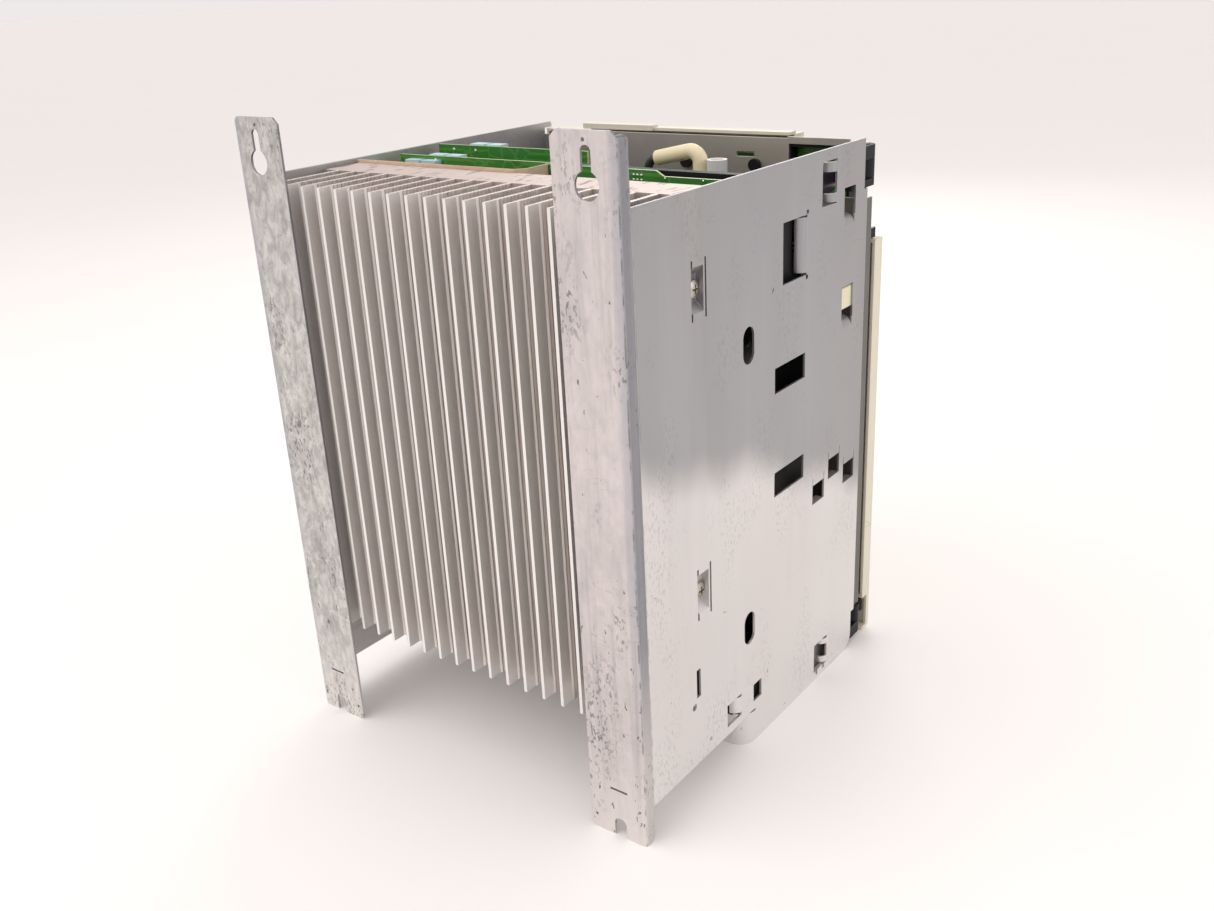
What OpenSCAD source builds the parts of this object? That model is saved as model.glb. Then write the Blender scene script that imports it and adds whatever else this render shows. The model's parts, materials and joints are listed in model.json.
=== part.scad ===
// Wall-mounted thyristor servo drive: a sheet-metal chassis round a finned heat sink,
// with a swing-out electronics carrier and a hinged cover on the front.
// Frame: +X is right and -Y is forward as the operator sees it, +Z is up, origin on the
// floor under the middle of the box. "Depth" is measured forward from the mounting plane.

/* [Overall size] */
// Width across the two side panels
body_w = 265; // [262:1:270]
// Height of the rear mounting flanges
body_h = 385; // [380:1:395]
// Depth from the mounting plane to the face of the front cover
body_d = 283; // [283:1:290]

/* [Side panels] */
// Thickness of the chassis sheet
sheet = 1.5; // [1.2:0.1:1.5]
// Height of the top edge of the side panels
panel_top = 350.4; // [349:0.2:354]
// Height of the bottom edge of the side panels
panel_bottom = 22.5; // [22:0.5:23.5]
// Depth of the front edge of the left side panel
panel_front = 252.6; // [251:0.2:253]
// Width of each rear mounting flange
flange_w = 37.5; // [37:0.5:40]
// Distance of the keyholes from the middle of the box
keyhole_x = 115; // [114:0.5:116]
// Radius of the round entry of a keyhole
keyhole_r = 7; // [6:0.25:7.5]
// Width of the hanging slot of a keyhole
keyhole_slot = 6; // [5:0.5:8]

/* [Heat sink] */
// Number of cooling fins
fin_count = 18; // [12:2:18]
// Distance between neighbouring fins
fin_pitch = 13.5; // [12:0.25:13.5]
// Thickness of a fin between its ribs
fin_t = 2; // [1.6:0.1:2.4]
// Depth of the fin tips
fin_tip = 5; // [4:0.5:8]
// Pitch of the small ribs along each fin face
rib_pitch = 2.7; // [2.7:0.1:4]
// Height of the small ribs
rib_h = 0.8; // [0.4:0.1:1.2]
// Height of the lower end of the heat sink
sink_bottom = 68.5; // [66:0.5:72]
// Height of the upper end of the heat sink
sink_top = 348; // [346:0.5:349]

/* [Power section] */
// Length of a thyristor module
module_l = 94; // [92:1:95]
// Width of a thyristor module
module_w = 34; // [30:1:34]
// Width of the vertical supply busbars
busbar_w = 14; // [12:1:14]

/* [Front] */
// Wall thickness of the moulded front cover
cover_t = 2; // [1.8:0.1:2]
// Thickness of every circuit board
board_t = 1.6; // [1.2:0.1:1.6]
// Travel of an operator key
key_travel = 0.8; // [0.4:0.1:0.9]

/* [Hidden] */
$fn = 64;
eps = 0.01;
half_w = body_w / 2;
inner_x = half_w - sheet;
strip_d = 8.5;
foot_rear = 107.5;
bend_r = 2.5;
foot_bend_r = 11.2;
tab_push = 5;
sink_half_w = inner_x - tab_push;
fin_root = 56;
sink_front = 84;
fin_smooth = 8;
bridge_d = [56.8, 71.2];
bridge_z = [[285, 316], [115, 146.5]];
side_screw_d = 63.5;
side_screw_z = [300.5, 130.8];
side_screw_r = 2.5;
module_x = [88, 40, -8];
module_z = 88;
module_top = 114;
terminal_z = [110, 133, 156];
bar_t = 3;
bolt_z = 38;
bolt_r = 3;
rectifier_x = -60;
board_b_d = 118;
board_c_d = 108.5;
board_a_d = 154;
filter_board_d = 186;
plate_d = 259;
plate_t = 1.5;
fold_front = 267.4;
carrier_right = 116;
carrier_top = 347.4;
board_d = 266.5;
hinge_x = -126;
hinge_d = 264.5;
knuckle_r = 6.5;
hinge_pin_r = 2;
cover_axis_x = -127;
cover_axis_d = 276.5;
cover_pin_r = 1.5;
running_gap = 0.06;
cover_left = -132;
cover_right = 131;
cover_rear = 272;
// Front edge of the raised strip along the top of the cover
top_strip_front = 272;
cover_face = body_d;
shoulder_z = 285;
housing_x = [-118.5, -76];
housing_z = [287, 343.8];
housing_front = body_d - 1.5;
key_x = [-110.5, -97.25, -84];
key_z = 300;
// Height of a fully pressed key above the housing face
key_proud = 0.6;
latch_x = 122;
latch_z = [66, 318];
cover_latch_x = 102;
cover_latch_z = 176;
stud_spots = [[-0.5, 330], [-53, 330], [100, 328], [-102, 65], [100, 50], [0, 178]];

rib_count = floor((fin_root - fin_tip - fin_smooth) / rib_pitch);
module_screw_spots = concat(
    [for (x = module_x) each [[x, module_z + 7], [x, module_z + 87]]],
    [[rectifier_x, 102], [rectifier_x, 158]]);
spacer_spots = [[118, 210], [14, 210], [118, 335], [14, 335],
    [-118, 215], [-16, 215], [-118, 330], [-16, 330]];
terminal_x = concat(module_x, [-90, -114]);
hinge_arm_x = 125;

// Plain windows of the left panel as [depth from, depth to, z from, z to]
relay_window = [150.5, 178.7, 283, 317.7];
capacitor_window = [196.7, 215.5, 318, 343.7];
upper_clip_window = [225.5, 241, 307, 324.8];
clamp_window = [225.3, 241, 243, 265];
upper_card_window = [142, 178.5, 221.3, 236.7];
lower_card_window = [142, 178.5, 156.9, 172.4];
lead_windows = [[191, 206.8, 132.8, 145.8], [212, 227.9, 142.7, 156.2],
    [233.5, 249.5, 131.8, 145.2]];
dent_window = [54, 58.3, 66.6, 84.7];
bracket_window = [86.5, 102.9, 28, 43];
small_window = [117.2, 127, 28.9, 41];
foot_window = [197.5, 216, 6, 27];
foot_lip_r = 5;

// Sleeved lead in the plane sleeve_d: up, round an elbow and down a gentle slope
sleeve_d = 200;
sleeve_x = -48.5;
elbow_z = 339;
elbow_r = 7;
elbow_sweep = [for (a = [180:-12.75:78]) [sleeve_x + elbow_r + elbow_r * cos(a),
    y_at(sleeve_d), elbow_z + elbow_r * sin(a)]];
sleeve_end = last(elbow_sweep) + [23.5, 0, -5];
sleeve_bottom = 318;
sleeve_route = concat([[sleeve_x, y_at(sleeve_d), sleeve_bottom]], elbow_sweep, [sleeve_end]);
lead_exit = [[0, 0, 0], [2.6, 0, -0.6], [5, 0, -2.2], [6.6, 0, -4.8], [7.2, 0, -8],
    [7.2, 0, -40]];

// Control leads clipped along the inside of the left panel, as (x, depth, z) turns
lead_turns = [
    [[-121, 146, 118], [-121, 150, 140], [-119, 168, 168], [-121, 176, 205]],
    [[-122, 190, 116], [-122, 198, 138], [-121, 216, 148], [-122, 232, 150],
        [-122, 240, 176]],
    [[-118, 196, 110], [-118, 206, 136], [-118, 236, 138], [-118, 245, 160]]];

// ---- placing helpers: x range, depth range, z range -------------------------------

function y_at(depth) = body_d / 2 - depth;

// Box from its x, depth and z ranges
module block(x, d, z) {
    translate([x[0], y_at(d[1]), z[0]])
        cube([x[1] - x[0], d[1] - d[0], z[1] - z[0]]);
}

// Round bar along X
module rod_x(x, d, z, r) {
    translate([x[0], y_at(d), z]) rotate([0, 90, 0]) cylinder(h = x[1] - x[0], r = r);
}

// Round bar along the depth
module rod_d(x, d, z, r) {
    translate([x, y_at(d[1]), z]) rotate([-90, 0, 0]) cylinder(h = d[1] - d[0], r = r);
}

// Round bar along Z
module rod_z(x, d, z, r) {
    translate([x, y_at(d), z[0]]) cylinder(h = z[1] - z[0], r = r);
}

// Outline drawn in (depth, z), given a thickness from x[0] to x[1]
module side_sheet(x) {
    translate([x[1], body_d / 2, 0]) rotate([90, 0, -90])
        linear_extrude(x[1] - x[0]) children();
}

// Outline drawn in (x, z), given a thickness from depth d[0] to d[1]
module face_sheet(d) {
    translate([0, y_at(d[0]), 0]) rotate([90, 0, 0]) linear_extrude(d[1] - d[0]) children();
}

// Outline drawn in (x, depth), raised from z[0] to z[1]
module plan(z) {
    translate([0, body_d / 2, z[0]]) mirror([0, 1, 0])
        linear_extrude(z[1] - z[0]) children();
}

// Rectangle from two ranges
module rect(u, v) {
    translate([u[0], v[0]]) square([u[1] - u[0], v[1] - v[0]]);
}

// Waste between a square corner at the origin and a round of radius r in the first quadrant
module corner_waste(r) {
    difference() {
        translate([-1, -1]) square(r + 1);
        translate([r, r]) circle(r);
    }
}

// Quarter ring round the origin in the second quadrant
module quarter_ring(r_out, r_in) {
    intersection() {
        difference() {
            circle(r_out);
            circle(r_in);
        }
        translate([-r_out, 0]) square(r_out);
    }
}

// Upright slot with round ends
module round_slot(u, v) {
    r = (u[1] - u[0]) / 2;
    rect(u, [v[0] + r, v[1] - r]);
    translate([u[0] + r, v[0] + r]) circle(r);
    translate([u[0] + r, v[1] - r]) circle(r);
}

// ---- chassis ----------------------------------------------------------------------

// Keyhole, bottom notch and drip slit of the left mounting flange, drawn in (x, z)
module flange_cutouts() {
    slot_r = keyhole_slot / 2;
    translate([-keyhole_x, body_h - 24.7]) circle(keyhole_r);
    rect([-keyhole_x - slot_r, -keyhole_x + slot_r], [body_h - 24.7, body_h - 9.5]);
    translate([-keyhole_x, body_h - 9.5]) circle(slot_r);
    rect([-keyhole_x - 4, -keyhole_x + 4], [-1, 8]);
    translate([-keyhole_x, 8]) circle(4);
    rect([-keyhole_x - 5.5, -keyhole_x + 6], [30, 31.6]);
    translate([-98.6, 9]) circle(1);
}

// L-shaped rear rail of the left panel: mounting flange, bend and narrow side strip,
// welded along the rear edge of the panel
module mounting_rail_left() {
    color("lightsteelblue") difference() {
        plan([0, body_h]) {
            difference() {
                rect([-half_w, -half_w + flange_w], [0, sheet]);
                translate([-half_w, 0]) corner_waste(bend_r);
            }
            difference() {
                rect([-half_w, -inner_x], [0, strip_d]);
                translate([-half_w, 0]) corner_waste(bend_r);
            }
        }
        face_sheet([-1, strip_d + 1]) {
            flange_cutouts();
            translate([-half_w + flange_w, 0]) mirror([1, 0]) corner_waste(5);
            translate([-half_w, body_h]) rotate(-45) square([5, 5], center = true);
            translate([-half_w + flange_w, body_h]) rotate(45) square(5, center = true);
        }
        side_sheet([-half_w - 1, -half_w + 3]) {
            translate([strip_d, body_h]) rotate(45) square(6, center = true);
            translate([strip_d, 0]) mirror([1, 0]) corner_waste(5.5);
        }
        face_sheet([-1, sheet + 1]) translate([-114, body_h - 4.3]) circle(1);
    }
}

module mounting_rail_right() {
    mirror([1, 0, 0]) mounting_rail_left();
}

// Foot bend under the left panel with its inward stiffening flange
module foot_bend() {
    cx = -half_w + foot_bend_r;
    plan([0, panel_bottom]) {
        translate([cx, foot_rear + foot_bend_r]) mirror([0, 1])
            quarter_ring(foot_bend_r, foot_bend_r - sheet);
        rect([cx, cx + 18], [foot_rear, foot_rear + sheet]);
    }
}

// Outline of the flat part of the left panel, in (depth, z)
module panel_outline() {
    rect([strip_d, panel_front], [panel_bottom, panel_top]);
    rect([panel_front - eps, panel_front + 4.4], [27, 320]);
    difference() {
        rect([foot_rear + foot_bend_r, panel_front], [0, panel_bottom + eps]);
        translate([panel_front, 0]) mirror([1, 0]) corner_waste(10);
    }
}

// Strip between two slits of the panel, pushed in until it meets the side of the heat
// sink, with a low wall drawn up along its front edge
module bridge_tab(z) {
    slit = 1.7;
    wall_t = 1.2;
    outer = -half_w;
    floor_x = outer + tab_push;
    ramp = [3.5, 8.5];
    front = bridge_d[1] - slit;
    face_sheet([bridge_d[0] + slit, front])
        polygon([[outer, z[0]], [outer, z[0] + ramp[0]], [floor_x, z[0] + ramp[1]],
            [floor_x, z[1] - ramp[1]], [outer, z[1] - ramp[0]], [outer, z[1]],
            [outer + sheet, z[1]], [outer + sheet, z[1] - ramp[0] + 0.4],
            [floor_x + sheet, z[1] - ramp[1] + 0.4], [floor_x + sheet, z[0] + ramp[1] - 0.4],
            [outer + sheet, z[0] + ramp[0] - 0.4], [outer + sheet, z[0]]]);
    face_sheet([front - wall_t, front])
        polygon([[outer, z[0] + ramp[0]], [floor_x + sheet / 2, z[0] + ramp[1]],
            [floor_x + sheet / 2, z[1] - ramp[1]], [outer, z[1] - ramp[0]]]);
}

// Lip rolled inward at the lower edge of a window
module rolled_lip(d, z, r) {
    face_sheet(d) translate([-half_w + r, z]) quarter_ring(r, r - sheet);
}

// Lip rolled inward and rearward from the front edge of a window
module front_lip(w, z, r) {
    plan(z) translate([-half_w + r, w[1]]) mirror([0, 1]) quarter_ring(r, r - sheet);
}

// Flat tab folded square to the panel, reaching inward
module folded_tab(d, z, reach) {
    block([-inner_x - eps, -inner_x + reach], [d, d + sheet], z);
}

module window(w) {
    rect([w[0], w[1]], [w[2], w[3]]);
}

// Every cut-out of the left panel
module left_panel_windows() {
    for (w = [relay_window, capacitor_window, upper_clip_window, clamp_window,
        upper_card_window, lower_card_window, dent_window, bracket_window,
        small_window, foot_window]) window(w);
    for (w = lead_windows) {
        window(w);
        rect([w[0], w[0] + 0.8], [w[3] - eps, w[3] + 5]);
        rect([w[1] - 0.8, w[1]], [w[3] - eps, w[3] + 5]);
    }
    for (z = bridge_z) rect(bridge_d, z);
    round_slot([106.8, 119], [247.7, 268.9]);
    round_slot([106.8, 119], [72.5, 93.7]);
    for (w = [relay_window]) {
        rect([w[1] - 1, w[1] + 2], [w[2] - 2.5, w[2] + eps]);
        rect([w[1] - 1, w[1] + 2], [w[3] - eps, w[3] + 2.5]);
    }
    rect([foot_window[0] + 3, foot_window[0] + 5.5], [3, 6 + eps]);
    rect([foot_window[1] - 5.5, foot_window[1] - 3], [3, 6 + eps]);
    rect([104, foot_rear + foot_bend_r + 1], [panel_bottom - 0.8, panel_bottom + 0.8]);
}

// Shallow dent pressed inward below the small rear slot
module panel_dent() {
    rod_x([-inner_x - eps, -inner_x + 1.2], 51.5, 62, 4);
}

module side_panel_left() {
    color("lightsteelblue") {
        difference() {
            union() {
                side_sheet([-half_w, -inner_x]) panel_outline();
                foot_bend();
                panel_dent();
            }
            side_sheet([-half_w - 1, -inner_x + 1]) left_panel_windows();
            for (w = [upper_clip_window, clamp_window])
                side_sheet([-half_w - 1, -inner_x + 1])
                    rect([w[0] + 1, w[1] - 1], [w[2] - 5, w[2] + eps]);
            rod_x([-half_w - 1, -inner_x + 4], 51.5, 62, 2.2);
        }
        difference() {
            for (z = bridge_z) bridge_tab(z);
            for (z = side_screw_z)
                rod_x([-half_w, -sink_half_w + 1], side_screw_d, z, side_screw_r);
        }
        for (w = [upper_clip_window, clamp_window])
            rolled_lip([w[0] + 1.6, w[1] - 1.6], w[2] - 5 - eps, 6);
        front_lip(bracket_window, [30.3, 41], 5.5);
        for (z = [[318.6, 323.7], [336.2, 341.8]]) front_lip(capacitor_window, z, 6);
        for (z = [[6.6, 11], [20.7, 24.7]]) front_lip(foot_window, z, foot_lip_r);
        for (w = lead_windows) folded_lip(w);
        folded_tab(relay_window[1], [relay_window[2] + 1, relay_window[3] - 1], 5);
    }
}

// Short sill folded inward at the bottom of a lead window
module folded_lip(w) {
    block([-inner_x - eps, -inner_x + 4], [w[0] + 0.5, w[1] - 0.5], [w[2] - sheet, w[2]]);
}

module side_panel_right() {
    front = 270;
    ear_front = 278;
    color("lightsteelblue") mirror([1, 0, 0]) {
        difference() {
            union() {
                side_sheet([-half_w, -inner_x]) difference() {
                    union() {
                        rect([strip_d, front], [panel_bottom, panel_top]);
                        rect([front - 1, ear_front], [panel_top - 3.8, panel_top]);
                        rect([foot_rear + foot_bend_r, panel_front],
                            [0, panel_bottom + eps]);
                    }
                    translate([ear_front, panel_top]) rotate(180) corner_waste(2);
                    translate([panel_front, 0]) mirror([1, 0]) corner_waste(10);
                }
                foot_bend();
                block([-inner_x - eps, -carrier_right - 1], [front - sheet, front],
                    [panel_bottom, panel_top - 8]);
            }
            side_sheet([-half_w - 1, -inner_x + 1]) {
                for (z = bridge_z) rect(bridge_d, z);
                round_slot([106.8, 119], [290, 311.2]);
                round_slot([106.8, 119], [72.5, 93.7]);
            }
            for (z = latch_z) rod_d(-latch_x, [front - 3, front + 1], z, 3.5);
        }
        difference() {
            for (z = bridge_z) bridge_tab(z);
            for (z = side_screw_z)
                rod_x([-half_w, -sink_half_w + 1], side_screw_d, z, side_screw_r);
        }
    }
}

// ---- heat sink --------------------------------------------------------------------

function fin_x(i) = (i - (fin_count - 1) / 2) * fin_pitch;

// Root-to-tip outline of one fin face; side is -1 or +1
function fin_face(x, side) = concat(
    [[x + side * fin_t / 2, fin_root]],
    [for (k = [rib_count - 1:-1:0]) each
        let (d = fin_tip + fin_smooth + k * rib_pitch)
        [[x + side * (fin_t / 2 + rib_h), d + rib_pitch / 2], [x + side * fin_t / 2, d]]],
    [[x + side * fin_t / 2, fin_tip]]);

function reversed(list) = [for (i = [len(list) - 1:-1:0]) list[i]];

module heat_sink() {
    fins = [for (i = [0:fin_count - 1])
        each concat(fin_face(fin_x(i), -1), reversed(fin_face(fin_x(i), 1)))];
    color("silver") difference() {
        plan([sink_bottom, sink_top]) polygon(concat(
            [[-sink_half_w, sink_front], [-sink_half_w, fin_root]], fins,
            [[sink_half_w, fin_root], [sink_half_w, sink_front]]));
        for (side = [-1, 1]) for (z = side_screw_z)
            mirror([side > 0 ? 1 : 0, 0, 0])
                rod_x([-sink_half_w - 1, -sink_half_w + 12], side_screw_d, z, side_screw_r);
        for (p = module_screw_spots) rod_d(p[0], [sink_front - 12, sink_front + 1], p[1], 2.5);
        for (p = spacer_spots) rod_d(p[0], [sink_front - 8, sink_front + 1], p[1], 1.5);
    }
}

module heat_sink_screws() {
    color("gainsboro") for (side = [0, 1]) for (z = side_screw_z) mirror([side, 0, 0]) {
        difference() {
            intersection() {
                rod_x([-half_w + 1.6, -half_w + tab_push], side_screw_d, z, 4.6);
                translate([-half_w + 9.6, y_at(side_screw_d), z]) sphere(8.2);
            }
            for (turn = [0, 90])
                translate([-half_w + 1.6, y_at(side_screw_d), z]) rotate([turn, 0, 0])
                    cube([3.2, 1.1, 5], center = true);
        }
        rod_x([-half_w + tab_push - eps, -sink_half_w + 10], side_screw_d, z, side_screw_r);
    }
}

// ---- power section ----------------------------------------------------------------

// Isolated thyristor module standing upright on the heat sink, terminals forward
module thyristor_module(x) {
    ear = 8;
    body = [module_z + 14, module_z + module_l - 14];
    color("dimgray") difference() {
        union() {
            block([x - module_w / 2, x + module_w / 2], [sink_front, sink_front + ear],
                [module_z, module_z + module_l]);
            block([x - module_w / 2, x + module_w / 2],
                [sink_front + ear - eps, module_top - 7], body);
            block([x - 10, x + 10], [module_top - 7 - eps, module_top], [body[0], body[1]]);
        }
        for (z = [module_z + 7, module_z + 87])
            rod_d(x, [sink_front - 1, module_top], z, 3.2);
        for (z = terminal_z) rod_d(x, [module_top - 9, module_top + 1], z, 2.5);
    }
}

module thyristor_module_1() {
    thyristor_module(module_x[0]);
}

module thyristor_module_2() {
    thyristor_module(module_x[1]);
}

module thyristor_module_3() {
    thyristor_module(module_x[2]);
}

module field_rectifier() {
    x = rectifier_x;
    color("black") difference() {
        union() {
            block([x - 15, x + 15], [sink_front, sink_front + 8], [96, 164]);
            block([x - 15, x + 15], [sink_front + 8 - eps, sink_front + 18], [108, 152]);
            for (z = [114:8:146]) for (side = [-1, 1])
                block([x + side * 10 - 0.4, x + side * 10 + 0.4],
                    [sink_front + 17, sink_front + 24], [z - 3, z + 3]);
        }
        for (z = [102, 158]) rod_d(x, [sink_front - 1, sink_front + 9], z, 3.2);
    }
}

// Cylinder-head screw: head from d_seat forward, shank back to d_end
module face_screw(x, z, d_seat, d_end, r, head_r, head_h) {
    difference() {
        rod_d(x, [d_seat, d_seat + head_h], z, head_r);
        block([x - head_r, x + head_r], [d_seat + head_h - 1, d_seat + head_h + 1],
            [z - 0.6, z + 0.6]);
    }
    rod_d(x, [d_end, d_seat + eps], z, r);
}

// Screws that hold the modules to the heat sink and the busbars to the modules
module module_screws() {
    color("silver") {
        for (p = module_screw_spots)
            face_screw(p[0], p[1], sink_front + 8, sink_front - 11, 2.5, 4.5, 5);
        for (x = module_x) for (z = terminal_z)
            face_screw(x, z, module_top + bar_t, module_top - 8, 2.5, 4.2, 3.5);
    }
}

module supply_busbars() {
    color("goldenrod") for (x = module_x) difference() {
        block([x - busbar_w / 2, x + busbar_w / 2], [module_top, module_top + bar_t], [28, 118]);
        rod_d(x, [module_top - 1, module_top + bar_t + 1], bolt_z, bolt_r + 0.2);
        rod_d(x, [module_top - 1, module_top + bar_t + 1], terminal_z[0], 2.7);
    }
}

// Positive and negative output bars: along the modules, then down to the terminal block
module armature_busbars() {
    bar_x = [[-97, -83], [-121, -107]];
    color("goldenrod") for (i = [0, 1]) difference() {
        z = terminal_z[i + 1];
        union() {
            block([bar_x[i][0], 95], [module_top, module_top + bar_t], [z - 6, z + 6]);
            block(bar_x[i], [module_top, module_top + bar_t], [28, z + 6]);
        }
        rod_d((bar_x[i][0] + bar_x[i][1]) / 2, [module_top - 1, module_top + bar_t + 1],
            bolt_z, bolt_r + 0.2);
        for (x = module_x)
            rod_d(x, [module_top - 1, module_top + bar_t + 1], terminal_z[i + 1], 2.7);
    }
}

module current_transformers() {
    color("saddlebrown") for (x = [module_x[0], module_x[2]]) difference() {
        rod_z(x, module_top + bar_t / 2, [52, 66], 15);
        rod_z(x, module_top + bar_t / 2, [51, 67], 8);
    }
}

module power_terminal_block() {
    color("darkslategray") difference() {
        union() {
            block([-121, 100], [97, module_top], [24, 52]);
            block([-125, -121 + eps], [104, module_top], [24, 52]);
            for (x = [98, 64, 16, -45, -102, -124])
                block([x - 1.2, x + 1.2], [module_top - eps, module_top + 12], [24, 51]);
        }
        for (x = terminal_x) rod_d(x, [99, module_top + 1], bolt_z, bolt_r);
    }
}

module power_terminal_bolts() {
    color("silver") for (x = terminal_x) {
        rod_d(x, [101, module_top + bar_t + eps], bolt_z, bolt_r);
        translate([x, y_at(module_top + bar_t + 4), bolt_z]) rotate([-90, 0, 0])
            cylinder(h = 4, r = 5.7, $fn = 6);
    }
}

module terminal_bracket() {
    color("lightgray") difference() {
        union() {
            block([-124, 124], [95.5, 97], [24, 60]);
            block([-inner_x, inner_x], [95.5, 97], [46, 60]);
            for (side = [0, 1]) mirror([side, 0, 0])
                block([-inner_x, -inner_x + sheet], [86, 96], [46, 60]);
        }
        for (x = [-60, 0, 60]) rod_d(x, [95, 98], 56, 2);
        rod_d(112, [95, 98], 40, 3);
    }
}

// Folded plate between the feet: air slots below, sides turned up against the panels
module bottom_plate() {
    side_x = half_w - foot_lip_r;
    rear = foot_rear + foot_bend_r + 1;
    z = 3;
    color("lightsteelblue") {
        plan([z, z + sheet]) difference() {
            union() {
                rect([-side_x, side_x], [rear, 250]);
                rect([-112, 112], [foot_rear + sheet, rear + 1]);
            }
            for (x = [-96 : 16 : 96]) round_slot([x - 2.5, x + 2.5], [150, 230]);
        }
        for (side = [0, 1]) mirror([side, 0, 0]) difference() {
            block([-side_x, -side_x + sheet], [rear, 235], [z, 44]);
            rod_x([-side_x - 1, -side_x + 3], 219, 9.5, 1.4);
            block([-side_x - 1, -side_x + 3], [132.3, 134.3], [23.5, 28.5]);
        }
    }
}

module ground_stud() {
    color("silver") {
        rod_d(112, [92, 112], 40, 3);
        for (d = [[91, 95.5], [97, 101]])
            translate([112, y_at(d[1]), 40]) rotate([-90, 0, 0])
                cylinder(h = d[1] - d[0], r = 5.7, $fn = 6);
    }
}

// One wall of the shroud: along the heat sink, chamfered, then forward beside the board
module shroud_wall(step, t) {
    d = sink_front + 0.4 + step;
    x = -4 + step;
    polygon([[inner_x - 2, d], [x + 6, d], [x, d + 6], [x, 108], [x + t, 108],
        [x + t, d + 6 + 0.4], [x + 6 + 0.4, d + t], [inner_x - 2, d + t]]);
}

module insulating_shroud() {
    color("tan") difference() {
        union() {
            plan([192, panel_top - 0.6]) shroud_wall(0, 1);
            plan([192, panel_top - 1.4]) shroud_wall(2.2, 1);
            block([inner_x - 3, inner_x - 2], [sink_front + 1, sink_front + 3],
                [192, panel_top - 1.4]);
        }
        for (p = spacer_spots) rod_d(p[0], [sink_front, sink_front + 6], p[1], 4.5);
    }
}

// ---- circuit boards of the power section --------------------------------------------

module board_spacers() {
    color("gold") for (i = [0:len(spacer_spots) - 1]) {
        p = spacer_spots[i];
        board = i < 4 ? board_b_d : board_c_d;
        rod_d(p[0], [sink_front, board], p[1], 3.5);
        rod_d(p[0], [sink_front - 7, sink_front + eps], p[1], 1.5);
        rod_d(p[0], [board - eps, board + board_t], p[1], 1.5);
        if (i < 4) rod_d(p[0], [board + board_t, board_a_d], p[1], 3.5);
        if (i < 4) rod_d(p[0], [board_a_d - eps, board_a_d + board_t], p[1], 1.5);
        if (i >= 4) rod_d(p[0], [board + board_t, board + board_t + 3], p[1], 3);
    }
}

module snubber_board() {
    color("forestgreen") difference() {
        face_sheet([board_c_d, board_c_d + board_t])
            polygon([[-125, 200], [-1, 200], [-1, 349.5], [-78, 349.5], [-83, 346.6],
                [-125, 346.6]]);
        for (i = [4:7]) rod_d(spacer_spots[i][0], [board_c_d - 1, board_c_d + board_t + 1],
            spacer_spots[i][1], 1.5);
    }
}

// Upright power board at the given depth and left edge
module power_board(x, d, z) {
    color("forestgreen") difference() {
        block(x, [d, d + board_t], z);
        for (i = [0:3])
            rod_d(spacer_spots[i][0], [d - 1, d + board_t + 1], spacer_spots[i][1], 1.5);
    }
}

module gate_board() {
    power_board([3, 126], board_b_d, [200, 348.6]);
}

module supply_board() {
    power_board([3, 126.5], board_a_d, [195, 350.2]);
}

// Ribbon and plug connectors along the top edges of the two right-hand boards
module board_connectors() {
    color("lightblue") {
        for (x = [[104, 116], [90, 102]]) {
            block(x, [board_b_d - 6, board_b_d], [339, 346.5]);
            block([x[0] - 14, x[1] - 14], [board_b_d + board_t, board_b_d + board_t + 7],
                [340, 349.2]);
            block([x[0] - 16, x[1] - 16], [board_a_d + board_t, board_a_d + board_t + 8],
                [342, 351]);
        }
        block([40, 92], [board_a_d + board_t, board_a_d + board_t + 9], [204, 214]);
    }
}

module film_capacitors() {
    color("royalblue") for (x = [-105:22:-35])
        block([x - 8, x + 8], [board_c_d + board_t, board_c_d + board_t + 20], [222, 248]);
    color("royalblue") for (x = [40:26:92])
        block([x - 9, x + 9], [board_b_d + board_t, board_b_d + board_t + 18], [222, 250]);
}

module pulse_transformers() {
    color("black") for (z = [262:20:302]) for (x = [30, 52, 74])
        block([x - 8, x + 8], [board_b_d + board_t, board_b_d + board_t + 16], [z - 7, z + 7]);
}

module electrolytic_capacitors() {
    color("midnightblue") for (i = [0:3])
        rod_d(22 + 26 * i, [board_a_d + board_t, board_a_d + board_t + 40], 300, 11);
    color("midnightblue") for (i = [0:2])
        rod_d(24 + 20 * i, [board_a_d + board_t, board_a_d + board_t + 25], 262, 8);
}

module card_rail() {
    color("black") {
        block([-126, -2], [board_c_d + board_t + 14, board_c_d + board_t + 20], [334, 347]);
        for (x = [[-126, -121], [-7, -2]])
            block(x, [board_c_d + board_t, board_c_d + board_t + 14 + eps], [334, 343]);
    }
}

module potted_transformer() {
    color("black") difference() {
        block([-125.5, -96], [board_c_d + board_t, 182], [270, 326]);
        block([-126, -121], [173.5, 179.5], [296, 309]);
    }
}

module filter_board() {
    color("forestgreen") block([-125, -8], [filter_board_d, filter_board_d + board_t],
        [262, 322]);
}

module ring_capacitor() {
    d = filter_board_d + board_t + 12;
    x = -60.5;
    color("lightgray") {
        difference() {
            rod_z(x, d, [296, 342], 6.2);
            rod_z(x, d, [341, 343], 4.2);
        }
        block([x - 4, x + 4], [filter_board_d + board_t, d], [296, 312]);
    }
}

module sleeved_capacitor() {
    color("dimgray") {
        rod_d(-110, [filter_board_d + 10, 241], 327, 10);
        block([-114, -106], [filter_board_d + board_t, 206], [308, 322]);
    }
}

function unit(v) = v / norm(v);

function last(list) = list[len(list) - 1];

// One round of corner cutting on an open path
function softened(path) = concat([path[0]],
    [for (i = [0:len(path) - 2]) each [path[i] * 0.75 + path[i + 1] * 0.25,
        path[i] * 0.25 + path[i + 1] * 0.75]],
    [last(path)]);

function heading(path, i) =
    unit(path[min(i + 1, len(path) - 1)] - path[max(i - 1, 0)]);

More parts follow.
